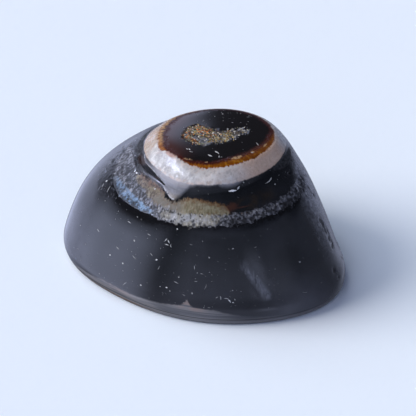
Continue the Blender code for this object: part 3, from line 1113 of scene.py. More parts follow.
        # Painted shade: a black strip just under the blue skin's lower edge.
        coats.lay(g.value("shade_under_blue"), self.groove, self.dull)
        skin = g.mix(g.step(grit.fine, 0.34, 0.62), self.skin_low, self.skin_grey)
        blue = g.step(g.value("in_blue") + ragged, 0.0, 0.35) * g.step(grit.sand, 0.28, 0.5)
        skin = g.mix(blue * 0.9, skin, self.skin_blue)
        cream = g.mix(g.step(grit.cloud, 0.40, 0.58), self.skin_white, self.skin_cream)
        pale = g.step(g.value("pale_skin") + ragged + soft, 0.0, 0.6)
        skin = g.mix(pale * g.step(grit.sand, 0.2, 0.5) * 0.9, skin, cream)
        skin = g.mix(grit.grains * 0.75, skin, self.skin_pale)
        bright = g.step(grit.specks, 0.6, 0.66) * g.blend(blue, 0.6, 0.1)
        bright = bright * g.blend(g.value("dim_skin"), 1.0, 0.4)
        skin = g.mix(bright, skin, self.skin_pale)
        skin = g.mix(g.value("dim_skin") * 0.56, skin, self.skin_dim)
        upper = g.step(g.value("dim_upper") + grit.fine.sway(2.2), -0.1, 0.4)
        skin = g.mix(g.value("dim_left") * 0.42 + upper * 0.57, skin, self.skin_dim)
        crisp = g.step(grit.specks * 0.6 + grit.sand * 0.4, 0.52, 0.59)
        skin = g.mix(crisp * g.value("dim_left") * g.blend(blue, 0.3, 0.0), skin, self.skin_pale)
        cover = g.step(g.value("in_rough") + ragged * 0.9 + soft * 0.8, -0.06, 0.14)
        coats.lay(cover, skin, g.blend(g.value("dim_left"), self.matt, self.rubbed), grit.specks)
        whole = g.maths("MAXIMUM", pale, blue)
        gaps = g.step(grit.specks, 0.505, 0.45) * g.blend(whole, 0.92, 0.14)
        coats.lay(cover * gaps, self.pore, self.matt)
        notches = g.dots(grit.skin, 0.3, 0.75, 0.5) * g.step(g.value("past_rough"), -0.55, -0.1)
        pores = g.maths("MAXIMUM", grit.pores * g.blend(whole, 0.9, 0.22), notches)
        coats.lay(cover * pores, self.pore, self.matt)
        olive = g.step(g.value("in_olive"), 0.0, 0.7) * g.step(grit.cloud, 0.36, 0.62)
        coats.lay(olive * 0.7, self.olive, self.sleek)
        self.lay_lens(g, grit, coats, ragged, soft)

    def lay_lens(self, g: Finish, grit: Grit, coats: Coats, ragged: Number, soft: Number) -> None:
        """Lays the warm and tan hollows, the translucent khaki lens with its brown rim, and the rust."""
        streaks = grit.streak * 0.4 + grit.fine * 0.6
        lens = g.mix(g.step(streaks, 0.38, 0.62), self.lens, self.lens_pale)
        lens = g.mix(g.value("lens_left") * 0.8, lens, self.lens_grey)
        lens = g.mix(grit.grains * 0.45, lens, self.skin_cream)
        lens = g.mix(g.step(grit.cloud, 0.52, 0.66) * 0.6, lens, self.tan)
        lens = g.mix(grit.pores * 0.5, lens, self.lens_rim)
        rim = g.step(g.value("past_lens") + ragged * 1.1 + soft * 0.9, 0.62, 0.1)
        rim = rim * g.blend(g.value("lens_left"), 0.85, 0.2)
        lens = g.mix(rim, lens, self.lens_rim)
        tan = g.mix(g.step(grit.fine, 0.36, 0.58), self.umber, self.tan)
        tan = g.mix(g.step(grit.cloud, 0.5, 0.6) * 0.7, tan, self.tan_olive)
        tan = g.mix(grit.grains * 0.6, tan, self.lens_pale)
        warm = g.mix(g.step(grit.specks, 0.44, 0.56), self.umber, self.warm)
        warm = g.mix(g.step(grit.specks, 0.62, 0.68) * 0.8, warm, self.lens_pale)
        edge = g.value("in_warm") + ragged + soft * 0.8
        coats.lay(g.step(edge, -0.05, 0.3) * 0.9, warm, self.matt, grit.specks)
        edge = g.value("in_tan") + ragged * 0.8 + soft * 0.6
        cover = g.step(edge, 0.0, 0.4) * 0.85
        coats.lay(cover, tan, self.worn, grit.specks)
        coats.lay(cover * g.step(grit.specks, 0.47, 0.41), self.umber, self.matt)
        drips = grit.streak.sway(0.7)
        edge = g.value("in_lens") + ragged * 0.55 + soft * 0.6 + drips
        coats.lay(g.step(edge, -0.04, 0.22) * 0.94, lens, self.waxy, grit.specks)
        rust = g.step(g.value("in_rust") + ragged * 1.4 + soft * 1.4, -0.05, 0.95)
        coats.lay(rust * 0.65, self.rust, self.oily)

    def lay_tongue(self, g: Finish, grit: Grit, coats: Coats) -> None:
        """Lays the grey ridge, the tongue with its pale lip of painted highlight over it, the crevices
        darkened with painted shade, and the dark cave.
        """
        uneven = grit.fine - NOISE_MIDDLE
        lines = g.mottle(g.stretch(grit.skin, (0.18, 0.18, 1.8)), 0.20, 3.0, 0.6)
        ridge = g.step(g.value("in_ridge") + uneven * 0.4, -0.06, 0.26)
        banded = g.mix(g.step(lines, 0.36, 0.58), self.ridge_low, self.ridge)
        banded = g.mix(g.value("tongue_left") * 0.75, banded, self.tongue_dark)
        coats.lay(ridge * 0.9, banded, self.glassy)
        grey = g.mix(g.step(lines, 0.35, 0.65), self.tongue, self.ridge)
        grey = g.mix(g.step(g.value("past_white"), 0.85, -0.05) * 0.8, grey, self.tongue_pale)
        grey = g.mix(g.value("tongue_left") * 0.85, grey, self.tongue_dark)
        grey = g.mix(g.step(g.value("past_white"), 1.1, 1.9) * 0.8, grey, self.tongue_beige)
        depth = g.value("in_tongue") + uneven * 0.3
        fade = g.blend(g.value("beak_side"), g.step(depth, -0.05, 0.22), g.step(depth, -0.1, 0.6) * 0.9)
        coats.lay(fade, grey, g.blend(g.value("tongue_left"), self.satin, self.glassy), grit.cloud)
        # Painted highlight: a pale lip along the tongue's lower edge.
        lip = g.step(depth, -0.03, 0.03) * g.step(depth, 0.2, 0.08) * g.step(g.value("beak_side"), 0.6, 0.1)
        coats.lay(lip * g.step(grit.fine, 0.36, 0.5) * 0.75, self.tongue_lip_highlight, self.satin)
        # Painted shade in the crevices, over their own umber.
        gap = g.value("crevice_gap") + uneven * 0.22 + grit.cloud.sway(0.12)
        crevice_umber_and_shade = g.mix(g.step(grit.cloud, 0.54, 0.68), self.groove, self.umber)
        coats.lay(g.step(gap, 0.07, 0.02) * 0.97, crevice_umber_and_shade, self.dull)
        cave = g.step(g.value("in_cave") + uneven, 0.0, 0.55)
        coats.lay(cave * 0.9, self.umber, self.satin)

    def lay_eye(self, g: Finish, grit: Grit, coats: Coats) -> None:
        """Lays the white ring with painted light and shade on its sides, the amber ring, the dark disc with
        its painted glow, and the seam's bed, each inside the last.
        """
        ragged = grit.fringe - NOISE_MIDDLE
        curl = grit.cloud - NOISE_MIDDLE
        white = g.mix(g.step(grit.cloud, 0.38, 0.64), self.white, self.white_cloud)
        # Painted light: the ring's front lighter.
        white = g.mix(g.value("lit_front_side") * 0.55, white, self.white_front_lit)
        crystals = g.mottle(grit.place, 0.36, 3.0, 0.65)
        white = g.mix(g.step(crystals, 0.48, 0.38) * 0.6, white, self.white_low)
        white = g.mix(g.step(crystals, 0.54, 0.62) * 0.6, white, self.white_clear)
        white = g.mix(g.value("warm_side") * 0.75, white, self.white_warm)
        # Cream tint with painted shade: the ring's left darker.
        white = g.mix(g.value("peach_side") * g.step(grit.cloud, 0.3, 0.52), white, self.white_cream_shaded)
        low = g.value("grey_top") * g.step(g.value("past_amber") + curl, 1.0, 0.25) * 0.45
        white = g.mix(low, white, self.white_low)
        lobe = g.step(g.value("in_lobe") + ragged * 0.8 + curl, 0.0, 0.45)
        white = g.mix(lobe * 0.85, white, self.white_lobe)
        strokes = g.step(grit.fringe, 0.46, 0.62) * g.value("peach_side")
        inner_rim = g.step(g.value("past_amber"), 0.9, 0.0)
        outer_rim = g.step(g.value("past_white"), -0.5, 0.0)
        rims = g.maths("MAXIMUM", inner_rim, outer_rim) * g.step(grit.fine, 0.42, 0.62) * 0.45
        white = g.mix(g.maths("MAXIMUM", strokes * 0.7, rims), white, self.white_peach)
        specks = g.step(g.mottle(grit.place, 0.13, 2.0, 0.6), 0.62, 0.70)
        white = g.mix(specks * g.blend(g.value("warm_side"), 0.3, 0.55), white, self.white_speck)
        outer = g.value("past_white") + curl * 0.26 + ragged * 0.2
        gloss = g.blend(g.step(grit.fine, 0.35, 0.65), 0.12, 0.36)
        coats.lay(g.step(outer, 0.10, -0.10), white, gloss, crystals)
        depth = g.value("past_disc") + ragged * 0.5 + curl * 0.5
        early = depth + g.value("warm_side") * 0.18
        amber = g.mix(g.step(early, 0.10, 0.62), self.amber_brown, self.amber)
        patchy = grit.fringe * 0.4 + grit.fine * 0.6
        gold = g.step(patchy, 0.47, 0.6) * g.step(early, 0.25, 0.65) * 0.9
        amber = g.mix(gold, amber, self.amber_gold)
        tan = g.step(patchy, 0.4, 0.56) * g.value("peach_side") * g.step(depth, 0.0, 0.3)
        amber = g.mix(tan * 0.8, amber, self.amber_tan)
        rim = g.value("past_amber") + ragged * 0.7 + curl * 0.35 + grit.fine.sway(0.6)
        amber = g.mix(g.value("warm_side") * 0.3, amber, self.amber_brown)
        coats.lay(g.step(rim, 0.07, -0.07), amber, self.glassy, grit.fine)
        inner = g.value("past_disc") + ragged * 0.9 + curl * 0.4
        border = g.step(inner, 0.42, 0.02) * g.blend(g.value("warm_side"), 1.0, 0.5)
        coats.lay(border, self.red, self.polish)
        # Painted glow on the disc's lit left side.
        disc = g.mix(g.value("glow"), self.disc, self.disc_glow)
        coats.lay(g.step(inner, 0.04, -0.30), disc, self.polish, 0.5)
        lumps = g.value("in_lump") + grit.fine.sway(2.4) + curl * 1.2
        lumps = g.step(lumps, 0.0, 0.4) * g.step(grit.specks, 0.4, 0.5)
        coats.lay(lumps * 0.85, self.amber_pale, self.sleek, grit.specks)
        border = grit.fine.sway(0.9) + grit.sand.sway(0.5)
        seam = g.step(g.value("in_seam") + border + g.value("seam_end") * -0.34, 0.0, 0.1)
        crumbs = g.mix(g.step(grit.sand, 0.44, 0.58), self.groove, self.seam)
        coats.lay(seam * g.step(grit.sand, 0.34, 0.44), crumbs, self.matt, grit.sand)
        smooth = g.step(g.value("smooth_seam") + grit.fine.sway(0.5), 0.0, 0.15)
        coats.lay(smooth * 0.85, self.quartz, self.satin, grit.fine)


@dataclass(frozen=True)
class QuartzFinish:
    """Glassy grains, each with its own tint."""

    ior: float = 1.55
    polish: float = 0.24
    bump_depth: float = 0.02
    dirt: Colour = (0.03, 0.026, 0.022)
    cleanness: float = 0.7

    def material(self) -> bpy.types.Material:
        """Builds the grains' finish on their own tint."""
        g = Finish("seam_quartz")
        tint = g.tint()
        cloud = g.mottle(g.millimetres(), 0.08, 3.0, 0.6)
        dirty = g.mix(g.step(cloud, 0.35, 0.65), self.dirt, tint)
        g.set(Base_Color=g.mix(self.cleanness, dirty, tint), Roughness=self.polish, IOR=self.ior)
        g.set(Normal=g.bump(cloud, self.bump_depth))
        return g.material


@dataclass(frozen=True)
class DustAndGlintFinish:
    """Dry, pale dust, the bruised white of tiny nicks, and a few pale flecks that are painted glints."""

    ior: float = 1.5
    roughness: float = 0.7
    grime: Colour = (0.12, 0.12, 0.13)

    def material(self) -> bpy.types.Material:
        """Builds the flecks' finish on their own tint."""
        g = Finish("pale_flecks")
        cloud = g.mottle(g.millimetres(), 0.10, 2.0, 0.6)
        g.set(Base_Color=g.mix(g.step(cloud, 0.45, 0.75) * 0.5, g.tint(), self.grime))
        g.set(Roughness=self.roughness, IOR=self.ior)
        return g.material


@dataclass(frozen=True)
class BoardFinish:
    """A plain pale board, cool white."""

    colour: Colour = (0.79, 0.87, 0.965)
    darker: float = 0.985
    mottle_width: float = 40.0
    roughness: float = 0.9

    def material(self) -> bpy.types.Material:
        """Builds the board's finish."""
        g = Finish("pale_board")
        cloud = g.mottle(g.millimetres(), self.mottle_width, 1.0)
        dark = tuple(self.darker * c for c in self.colour)
        g.set(Base_Color=g.mix(cloud, self.colour, dark), Roughness=self.roughness)
        return g.material


def only(obj: bpy.types.Object) -> None:
    """Selects one object and nothing else, and makes it the active one."""
    bpy.ops.object.select_all(action="DESELECT")
    obj.select_set(True)
    bpy.context.view_layer.objects.active = obj


def added(name: str, data: bpy.types.ID) -> bpy.types.Object:
    """Puts a new object with its data into the scene."""
    made = bpy.data.objects.new(name, data)
    bpy.context.scene.collection.objects.link(made)
    return made


def pick_faces(obj: bpy.types.Object, chosen: Array) -> None:
    """Opens an object's mesh for editing with some of its faces selected.

    Args:
        obj: The object.
        chosen: For each face, whether it is selected.
    """
    only(obj)
    bpy.ops.object.mode_set(mode="EDIT")
    bpy.ops.mesh.select_mode(type="FACE")
    bpy.ops.mesh.select_all(action="DESELECT")
    bpy.ops.object.mode_set(mode="OBJECT")
    obj.data.polygons.foreach_set("select", chosen)
    bpy.ops.object.mode_set(mode="EDIT")


def joined_copies(name: str, copies: list[Array], faces: list[list[tuple[int, ...]]],
                  tints: list[Colour]) -> bpy.types.Object:
    """Joins many small shapes into one object.

    Args:
        name: The object's name.
        copies: Each shape's own points, in millimetres in the frame.
        faces: Each shape's own faces.
        tints: Each shape's own colour, kept in the attribute "tint".

    Returns:
        The object, whose place is in its mesh.
    """
    polygons, colours, first = [], [], 0
    for shape, shape_faces, tint in zip(copies, faces, tints):
        polygons.extend(tuple(first + i for i in face) for face in shape_faces)
        colours.append(np.tile((*tint, 1.0), (len(shape), 1)))
        first += len(shape)
    mesh = bpy.data.meshes.new(name)
    mesh.from_pydata((np.vstack(copies) * METRES).tolist(), [], polygons)
    tint_layer = mesh.attributes.new("tint", "FLOAT_COLOR", "POINT")
    tint_layer.data.foreach_set("color", np.vstack(colours).ravel())
    return added(name, mesh)


def taken_apart(model: bpy.types.Object) -> Shape:
    """Gives a model's points and faces, and takes the model out of the scene."""
    points = np.array([v.co for v in model.data.vertices])
    faces = [tuple(p.vertices) for p in model.data.polygons]
    bpy.data.objects.remove(model, do_unlink=True)
    return points, faces


class Piece:
    """A visible piece of the stone."""

    finish: AgateFinish | QuartzFinish | DustAndGlintFinish

    def build(self) -> bpy.types.Object:
        """Models the piece."""
        raise NotImplementedError

    def dress(self) -> bpy.types.Object:
        """Builds the piece, gives it its finish and ties it to the frame."""
        piece = self.build()
        piece.data.materials.append(self.finish.material())
        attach(piece, BODY)
        piece.data.calc_loop_triangles()
        log.info("%s: %d triangles", piece.name, len(piece.data.loop_triangles))
        return piece


@dataclass
class Stone(Piece):
    """The whole stone's visible skin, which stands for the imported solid."""

    loft: Loft = field(default_factory=Loft)
    pattern: Pattern = field(default_factory=Pattern)
    relief: Relief = field(default_factory=Relief)
    finish: AgateFinish = field(default_factory=AgateFinish)
    segments: int = 60
    rings: int = 25
    spread: Line = ((0, 0.0), (34, 2.2), (60, 5.2), (118, 9.4), (180, 16.0), (200, 17.0))

    def cut_skin(self) -> bpy.types.Object:
        """Starts from a ball and halves its faces, least at the poles and most on the skin."""
        bpy.ops.object.select_all(action="DESELECT")
        bpy.ops.mesh.primitive_uv_sphere_add(segments=self.segments, ring_count=self.rings, radius=1.0)
        ball = bpy.context.active_object
        for depth in Depth:
            away = depth.value - 1
            self.halve(ball, away / self.rings, (self.rings - away) / self.rings)
        return ball

    def halve(self, ball: bpy.types.Object, low: float, high: float) -> None:
        """Halves the faces between two shares of the way from the ball's top to its foot.

        Args:
            ball: The ball.
            low: Where the stretch starts.
            high: Where it ends.
        """
        centres = np.array([p.center for p in ball.data.polygons])
        share = np.arccos(centres[:, 2] / np.linalg.norm(centres, axis=1)) / math.pi
        pick_faces(ball, (share > low) & (share < high))
        bpy.ops.mesh.subdivide(number_cuts=1, ngon=False)
        bpy.ops.object.mode_set(mode="OBJECT")

    def coordinates(self, ball: bpy.types.Object) -> tuple[Array, Array]:
        """Reads each vertex's bearing and station from its place on the ball."""
        flat = np.zeros(len(ball.data.vertices) * 3, np.float32)
        ball.data.vertices.foreach_get("co", flat)
        x, y, z = flat.reshape(-1, 3).astype(float).T
        fine = 2 ** Depth.SKIN.value
        turn = np.round(np.arctan2(y, x) / (2 * math.pi) * self.segments * fine)
        ring = np.round(np.arctan2(np.hypot(x, y), z) / math.pi * self.rings * fine)
        bearings = turn * 360 / (self.segments * fine) % 360
        return bearings, np.interp(ring, *np.transpose(self.spread))

    def build(self) -> bpy.types.Object:
        """Shapes the ball into the stone, which stands for the solid, with what its material reads."""
        stone = self.cut_skin()
        mesh = stone.data
        bearings, stations = self.coordinates(stone)
        points = self.loft.points(bearings, stations)
        fields = self.pattern.fields(bearings, stations, points)
        self.place(mesh, points)
        normals = np.zeros(len(mesh.vertices) * 3, np.float32)
        mesh.vertices.foreach_get("normal", normals)
        heights = self.relief.heights(bearings, stations, points, self.pattern, fields)
        self.place(mesh, points + heights[:, None] * normals.reshape(-1, 3))
        for name, values in fields.items():
            mesh.attributes.new(name, "FLOAT", "POINT").data.foreach_set("value", values.astype(np.float32))
        turn = np.radians(bearings)
        radius = self.pattern.skin_radius
        unrolled = np.stack([radius * np.cos(turn), radius * np.sin(turn),
                             self.pattern.station_spacing * stations], axis=1)
        skin = mesh.attributes.new("skin", "FLOAT_VECTOR", "POINT")
        skin.data.foreach_set("vector", unrolled.astype(np.float32).ravel())
        mesh.shade_smooth()
        stone.name = "agate_stone"
        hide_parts(NODE)
        return stone

    def place(self, mesh: bpy.types.Mesh, points: Array) -> None:
        """Puts the mesh's vertices at points given from the eye's axis in millimetres."""
        mesh.vertices.foreach_set("co", (self.loft.placed(points) * METRES).astype(np.float32).ravel())
        mesh.update()


@dataclass
class QuartzSeam(Piece):
    """The coarse quartz that fills the V-shaped seam in the eye."""

    loft: Loft = field(default_factory=Loft)
    pattern: Pattern = field(default_factory=Pattern)
    finish: QuartzFinish = field(default_factory=QuartzFinish)
    count: int = 1150
    radii: Span = (0.042, 0.112)
    corners: Spans = ((-2.6, -1.8), (2.5, 2.0))
    left_end: float = -0.3
    right_end: float = 1.0
    left_shares: Run = (0.28, 0.24, 0.14, 0.15, 0.05, 0.14)
    middle_shares: Run = (0.38, 0.06, 0.20, 0.16, 0.10, 0.10)
    right_shares: Run = (0.06, 0.01, 0.12, 0.29, 0.38, 0.14)
    lightness: Span = (0.30, 1.50)
    stray: float = 0.24
    sparse: float = 0.65
    edge_size: float = 0.6
    tilt: float = 1.1
    unevenness: Span = (0.7, 1.3)
    fall: float = 0.006
    dip: float = 0.05
    sunk_share: float = 0.7
    tips: tuple[Span, ...] = ((1.0, 0.8), (-1.0, 0.5))
    tip_narrowing: tuple[float, float, float] = (0.30, 0.45, 1.0)
    seed: int = 5

    def model(self) -> bpy.types.Object:
        """Models one grain: a short six-sided crystal with a blunt point at each end."""
        bpy.ops.object.select_all(action="DESELECT")
        bpy.ops.mesh.primitive_cylinder_add(vertices=6, radius=1.0, depth=0.9, end_fill_type="NGON")
        grain = bpy.context.active_object
        for side, reach in self.tips:
            pick_faces(grain, np.array([p.normal.z * side > 0.9 for p in grain.data.polygons]))
            bpy.ops.mesh.extrude_region_move(TRANSFORM_OT_translate={"value": (0.0, 0.0, side * reach)})
            bpy.ops.transform.resize(value=self.tip_narrowing)
            bpy.ops.object.mode_set(mode="OBJECT")
        return grain

    def tint(self, x: float, y: float, rng: np.random.Generator) -> Colour:
        """Picks a grain's colour by where it lies: warm at the left, grey at the right."""
        kinds = tuple(Grain)
        shares = self.middle_shares if x > self.left_end else self.left_shares
        if self.is_clear(x, y):
            shares = self.right_shares
        share = rng.uniform(*self.lightness)
        return tuple(share * c for c in kinds[rng.choice(len(kinds), p=shares)].value)

    def is_clear(self, x: float, y: float) -> bool:
        """Tells whether a place lies in the grey quartz, at the seam's right end or its lower left."""
        return x > self.right_end or self.depth(x, y, self.pattern.smooth_seam) > 0

    def depth(self, x: float, y: float, outline: Line) -> float:
        """Gives how far inside an outline one place is."""
        return float(depth_inside(np.array([x]), np.array([y]), outline)[0])

    def build(self) -> bpy.types.Object:
        """Copies the grain all over the seam, each copy turned, sized and tinted by itself."""
        rng = np.random.default_rng(self.seed)
        shape, faces = taken_apart(self.model())
        copies, tints = [], []
        while len(tints) < self.count:
            x, y = rng.uniform(*self.corners)
            inside = self.depth(x, y, self.pattern.seam_outline)
            few = self.is_clear(x, y)
            if inside < rng.uniform(-self.stray, 0.5 * self.stray) or (few and rng.uniform() > self.sparse):
                continue
            size = rng.uniform(*self.radii) * min(1.0, self.edge_size + max(inside, 0.0))
            tilt = rng.uniform(-self.tilt, self.tilt, 2)
            turn = Matrix.Rotation(tilt[0], 3, "X") @ Matrix.Rotation(tilt[1], 3, "Y")
            turn = turn @ Matrix.Rotation(rng.uniform(0, math.pi), 3, "Z")
            grain = (shape * size * rng.uniform(*self.unevenness, 3)) @ np.array(turn).T
            crown = self.loft.crown_height - self.fall * (x * x + y * y)
            floor = crown - rng.uniform(0.0, self.dip)
            copies.append(self.loft.placed(grain + (x, y, floor - grain[:, 2].max() * self.sunk_share)))
            tints.append(self.tint(x, y, rng))
        return joined_copies("quartz_grains", copies, [faces] * len(copies), tints)


@dataclass(frozen=True)
class Mark:
    """One small mark at a place on the stone, turned from level by some degrees."""

    kind: Fleck
    bearing: float
    station: float
    length: float
    turn: float
    shade: float


@dataclass(frozen=True)
class Scatter:
    """A stretch of the stone with a number of small marks by chance."""

    count: int
    bearings: Span
    stations: Span
    lengths: Span
    shades: Span
    kinds: tuple[float, float, float] = (0.5, 0.35, 0.15)


@dataclass
class Flecks(Piece):
    """Dust, fibres and tiny white nicks on the polish, and a few pale flecks that are painted glints."""

    loft: Loft = field(default_factory=Loft)
    finish: DustAndGlintFinish = field(default_factory=DustAndGlintFinish)
    thickness: float = 0.018
    lift: float = 0.006
    growth: float = 1.08
    gain: float = 1.2
    lightest: float = 0.95
    blueness: Colour = (0.92, 0.95, 1.0)
    raggedness: float = 0.12
    inset: float = 0.12
    rim_height: float = 0.15
    taper: float = 0.6
    bends: Span = (0.65, 0.2)
    turns: Span = (-25.0, 70.0)
    chip_length: float = 0.7
    strand_length: float = 1.3
    seed: int = 23
    marks: tuple[Mark, ...] = (
        # The first four marks are painted highlights: the bright bar with its arm, and the curved glints on
        # the black band.
        Mark(SLIVER, 281.0, 5.93, 0.57, 4, 0.95), Mark(SLIVER, 285.8, 5.76, 0.34, -37, 0.60),
        Mark(FIBRE, 312.8, 6.48, 0.76, -3, 0.34), Mark(CHIP, 315.5, 6.99, 0.15, 17, 0.25),
        Mark(CHIP, 290.8, 5.33, 0.12, 78, 0.31), Mark(CHIP, 308.0, 11.06, 0.11, 20, 0.95),
        Mark(CHIP, 248.0, 9.27, 0.10, -9, 0.95), Mark(SPLINTER, 242.8, 9.91, 0.29, -59, 0.56),
        Mark(SPLINTER, 244.5, 9.96, 0.28, 50, 0.70), Mark(SPLINTER, 243.8, 10.11, 0.31, 6, 0.50),
        Mark(SPLINTER, 246.2, 10.13, 0.24, 62, 0.43), Mark(SPLINTER, 216.5, 11.00, 0.36, 13, 0.25),
        Mark(SPLINTER, 227.2, 11.03, 0.45, 24, 0.17), Mark(CHIP, 239.8, 10.82, 0.17, -21, 0.53),
        Mark(SPLINTER, 236.5, 10.68, 0.31, 30, 0.28), Mark(SPLINTER, 241.8, 11.10, 0.33, -73, 0.22),
        Mark(CHIP, 213.5, 11.40, 0.14, -24, 0.43), Mark(CHIP, 221.8, 11.45, 0.13, 9, 0.50),
        Mark(SPLINTER, 201.8, 10.88, 0.34, 15, 0.34), Mark(SPLINTER, 225.8, 12.42, 0.40, -52, 0.22),
        Mark(CHIP, 234.2, 12.07, 0.17, 2, 0.28), Mark(SPLINTER, 251.5, 11.48, 0.36, 17, 0.22),
        Mark(CHIP, 252.5, 11.26, 0.11, 0, 0.28), Mark(CHIP, 247.2, 11.78, 0.14, -5, 0.46),
        Mark(CHIP, 244.0, 11.81, 0.09, -14, 0.37), Mark(CHIP, 249.0, 11.91, 0.09, -12, 0.31),
        Mark(SPLINTER, 259.5, 10.82, 0.31, 81, 0.31), Mark(SPLINTER, 263.0, 11.03, 0.24, 10, 0.25),
        Mark(CHIP, 261.0, 11.01, 0.09, -5, 0.25), Mark(FIBRE, 265.0, 11.51, 0.38, -65, 0.22),
        Mark(SPLINTER, 260.5, 11.33, 0.25, -6, 0.22), Mark(CHIP, 266.2, 10.41, 0.11, 49, 0.31),
        Mark(CHIP, 277.5, 10.08, 0.14, -17, 0.25), Mark(SPLINTER, 256.8, 9.93, 0.21, 13, 0.22),
        Mark(CHIP, 259.2, 11.83, 0.15, 80, 0.28), Mark(SPLINTER, 255.5, 11.97, 0.21, 19, 0.25),
        Mark(SPLINTER, 269.8, 11.93, 0.21, -32, 0.34), Mark(SPLINTER, 271.5, 11.95, 0.31, 87, 0.46),
        Mark(SPLINTER, 273.8, 11.97, 0.27, 5, 0.50), Mark(SPLINTER, 275.0, 12.09, 0.31, 50, 0.95),
        Mark(CHIP, 276.5, 12.20, 0.13, 11, 0.43), Mark(CHIP, 276.5, 11.62, 0.09, 2, 0.31),
        Mark(CHIP, 280.0, 11.67, 0.07, 3, 0.28), Mark(FIBRE, 306.5, 12.27, 0.35, 26, 0.19),
        Mark(SPLINTER, 217.2, 9.80, 0.34, 4, 0.36), Mark(SPLINTER, 232.0, 9.92, 0.31, 8, 0.37),
        Mark(CHIP, 224.5, 10.42, 0.17, 26, 0.31), Mark(FIBRE, 191.2, 9.36, 0.42, 66, 0.53),
        Mark(SPLINTER, 185.5, 9.57, 0.29, 48, 0.53), Mark(CHIP, 184.8, 9.32, 0.19, -59, 0.50),
        Mark(SPLINTER, 195.5, 7.17, 0.25, 77, 0.95), Mark(CHIP, 198.0, 7.16, 0.19, -12, 0.56),
        Mark(CHIP, 221.2, 7.01, 0.12, -28, 0.50), Mark(SLIVER, 223.6, 1.66, 0.22, 0, 0.45),
        Mark(SLIVER, 227.0, 1.60, 0.26, 20, 0.53), Mark(SPLINTER, 233.0, 1.74, 0.26, -17, 0.46),
        Mark(SLIVER, 260.4, 1.66, 0.40, 32, 0.42), Mark(SLIVER, 268.6, 1.30, 0.36, 48, 0.50),
        Mark(SPLINTER, 271.4, 1.42, 0.22, 66, 0.46), Mark(SLIVER, 272.0, 1.74, 0.28, -80, 0.50),
        Mark(CHIP, 275.0, 1.80, 0.10, 10, 0.30), Mark(CHIP, 83.8, 1.76, 0.13, -6, 0.43),
        Mark(CHIP, 51.0, 0.53, 0.19, 31, 0.43), Mark(CHIP, 94.0, 1.49, 0.10, 6, 0.25),
        Mark(SPLINTER, 53.0, 2.00, 0.21, -44, 0.31), Mark(SPLINTER, 336.2, 1.75, 0.45, -50, 0.25),
        Mark(CHIP, 314.0, 2.20, 0.19, 67, 0.31), Mark(CHIP, 241.0, 0.86, 0.19, 51, 0.22),
    )
    scatters: tuple[Scatter, ...] = (
        Scatter(34, (196, 292), (9.7, 12.7), (0.05, 0.17), (0.10, 0.30)),
        Scatter(110, (196, 300), (9.4, 12.9), (0.04, 0.08), (0.12, 0.40)),
        Scatter(12, (165, 200), (9.3, 12.6), (0.06, 0.20), (0.15, 0.35)),
        Scatter(12, (182, 224), (9.15, 9.95), (0.04, 0.11), (0.20, 0.65)),
        Scatter(10, (300, 330), (9.8, 12.8), (0.05, 0.12), (0.08, 0.22)),
        Scatter(14, (250, 340), (5.3, 7.2), (0.04, 0.12), (0.10, 0.35)),
        Scatter(40, (20, 160), (5.4, 12.8), (0.06, 0.24), (0.12, 0.45)),
        Scatter(20, (0, 360), (0.9, 2.1), (0.04, 0.12), (0.12, 0.40)),
        Scatter(22, (30, 130), (0.8, 2.4), (0.04, 0.12), (0.12, 0.45)),
    )

    def models(self) -> dict[Fleck, Shape]:
        """Models each kind of fleck once, each 1 long and 1 thick.

        Returns:
            Each kind's points and faces.
        """
        shapes = {}
        for kind in Fleck:
            bpy.ops.object.select_all(action="DESELECT")
            sides = 10 if kind is FIBRE else 6
            bpy.ops.mesh.primitive_cylinder_add(vertices=sides, radius=0.5, depth=1.0)
            made = bpy.context.active_object
            pick_faces(made, np.array([p.normal.z > 0.9 for p in made.data.polygons]))
            bpy.ops.mesh.inset(thickness=self.inset)
            bpy.ops.object.mode_set(mode="OBJECT")
            points, faces = taken_apart(made)
            top = points[:, 2] > 0
            points[~top, 2] = -1.0
            points[top & (np.hypot(points[:, 0], points[:, 1]) > 0.45), 2] = self.rim_height
            points[:, 1] *= kind.value * (1 - self.taper * np.abs(2 * points[:, 0]) ** 2)
            if kind is FIBRE:
                points[:, 1] -= np.where(points[:, 0] > 0, *self.bends) * points[:, 0] ** 2
            shapes[kind] = (points, faces)
        return shapes

    def all_marks(self) -> list[Mark]:
        """Gives the named marks and the scattered ones."""
        rng = np.random.default_rng(self.seed)
        made = list(self.marks)
        for area in self.scatters:
            for _ in range(area.count):
                kind = list(Fleck)[rng.choice(3, p=area.kinds)]
                share = self.chip_length if kind is CHIP else self.strand_length
                length = rng.uniform(*area.lengths) * share
                made.append(Mark(kind, rng.uniform(*area.bearings), rng.uniform(*area.stations), length,
                                 rng.uniform(*self.turns), rng.uniform(*area.shades)))
        return made

    def build(self) -> bpy.types.Object:
        """Lays every mark on the stone's surface, flat against it."""
        rng = np.random.default_rng(self.seed + 1)
        shapes = self.models()
        marks = self.all_marks()
        bearings = np.array([m.bearing for m in marks])
        stations = np.array([m.station for m in marks])
        places, axes = self.loft.rests(bearings, stations)
        copies, faces, tints = [], [], []
        for mark, place, axis in zip(marks, places, axes):
            points, polygons = shapes[mark.kind]
            jitter = 1 + self.raggedness * rng.standard_normal((len(points), 2))
            flat = points[:, :2] * jitter * mark.length * self.growth
            turn = math.radians(mark.turn)
            spun = flat @ np.array([[math.cos(turn), math.sin(turn)], [-math.sin(turn), math.cos(turn)]])
            up = points[:, 2:] * self.thickness + self.lift
            copies.append(self.loft.placed(place + np.hstack([spun, up]) @ axis))
            faces.append(polygons)
            shade = min(mark.shade * self.gain, self.lightest)
            tints.append(tuple(shade * c for c in self.blueness))
        return joined_copies("surface_flecks", copies, faces, tints)


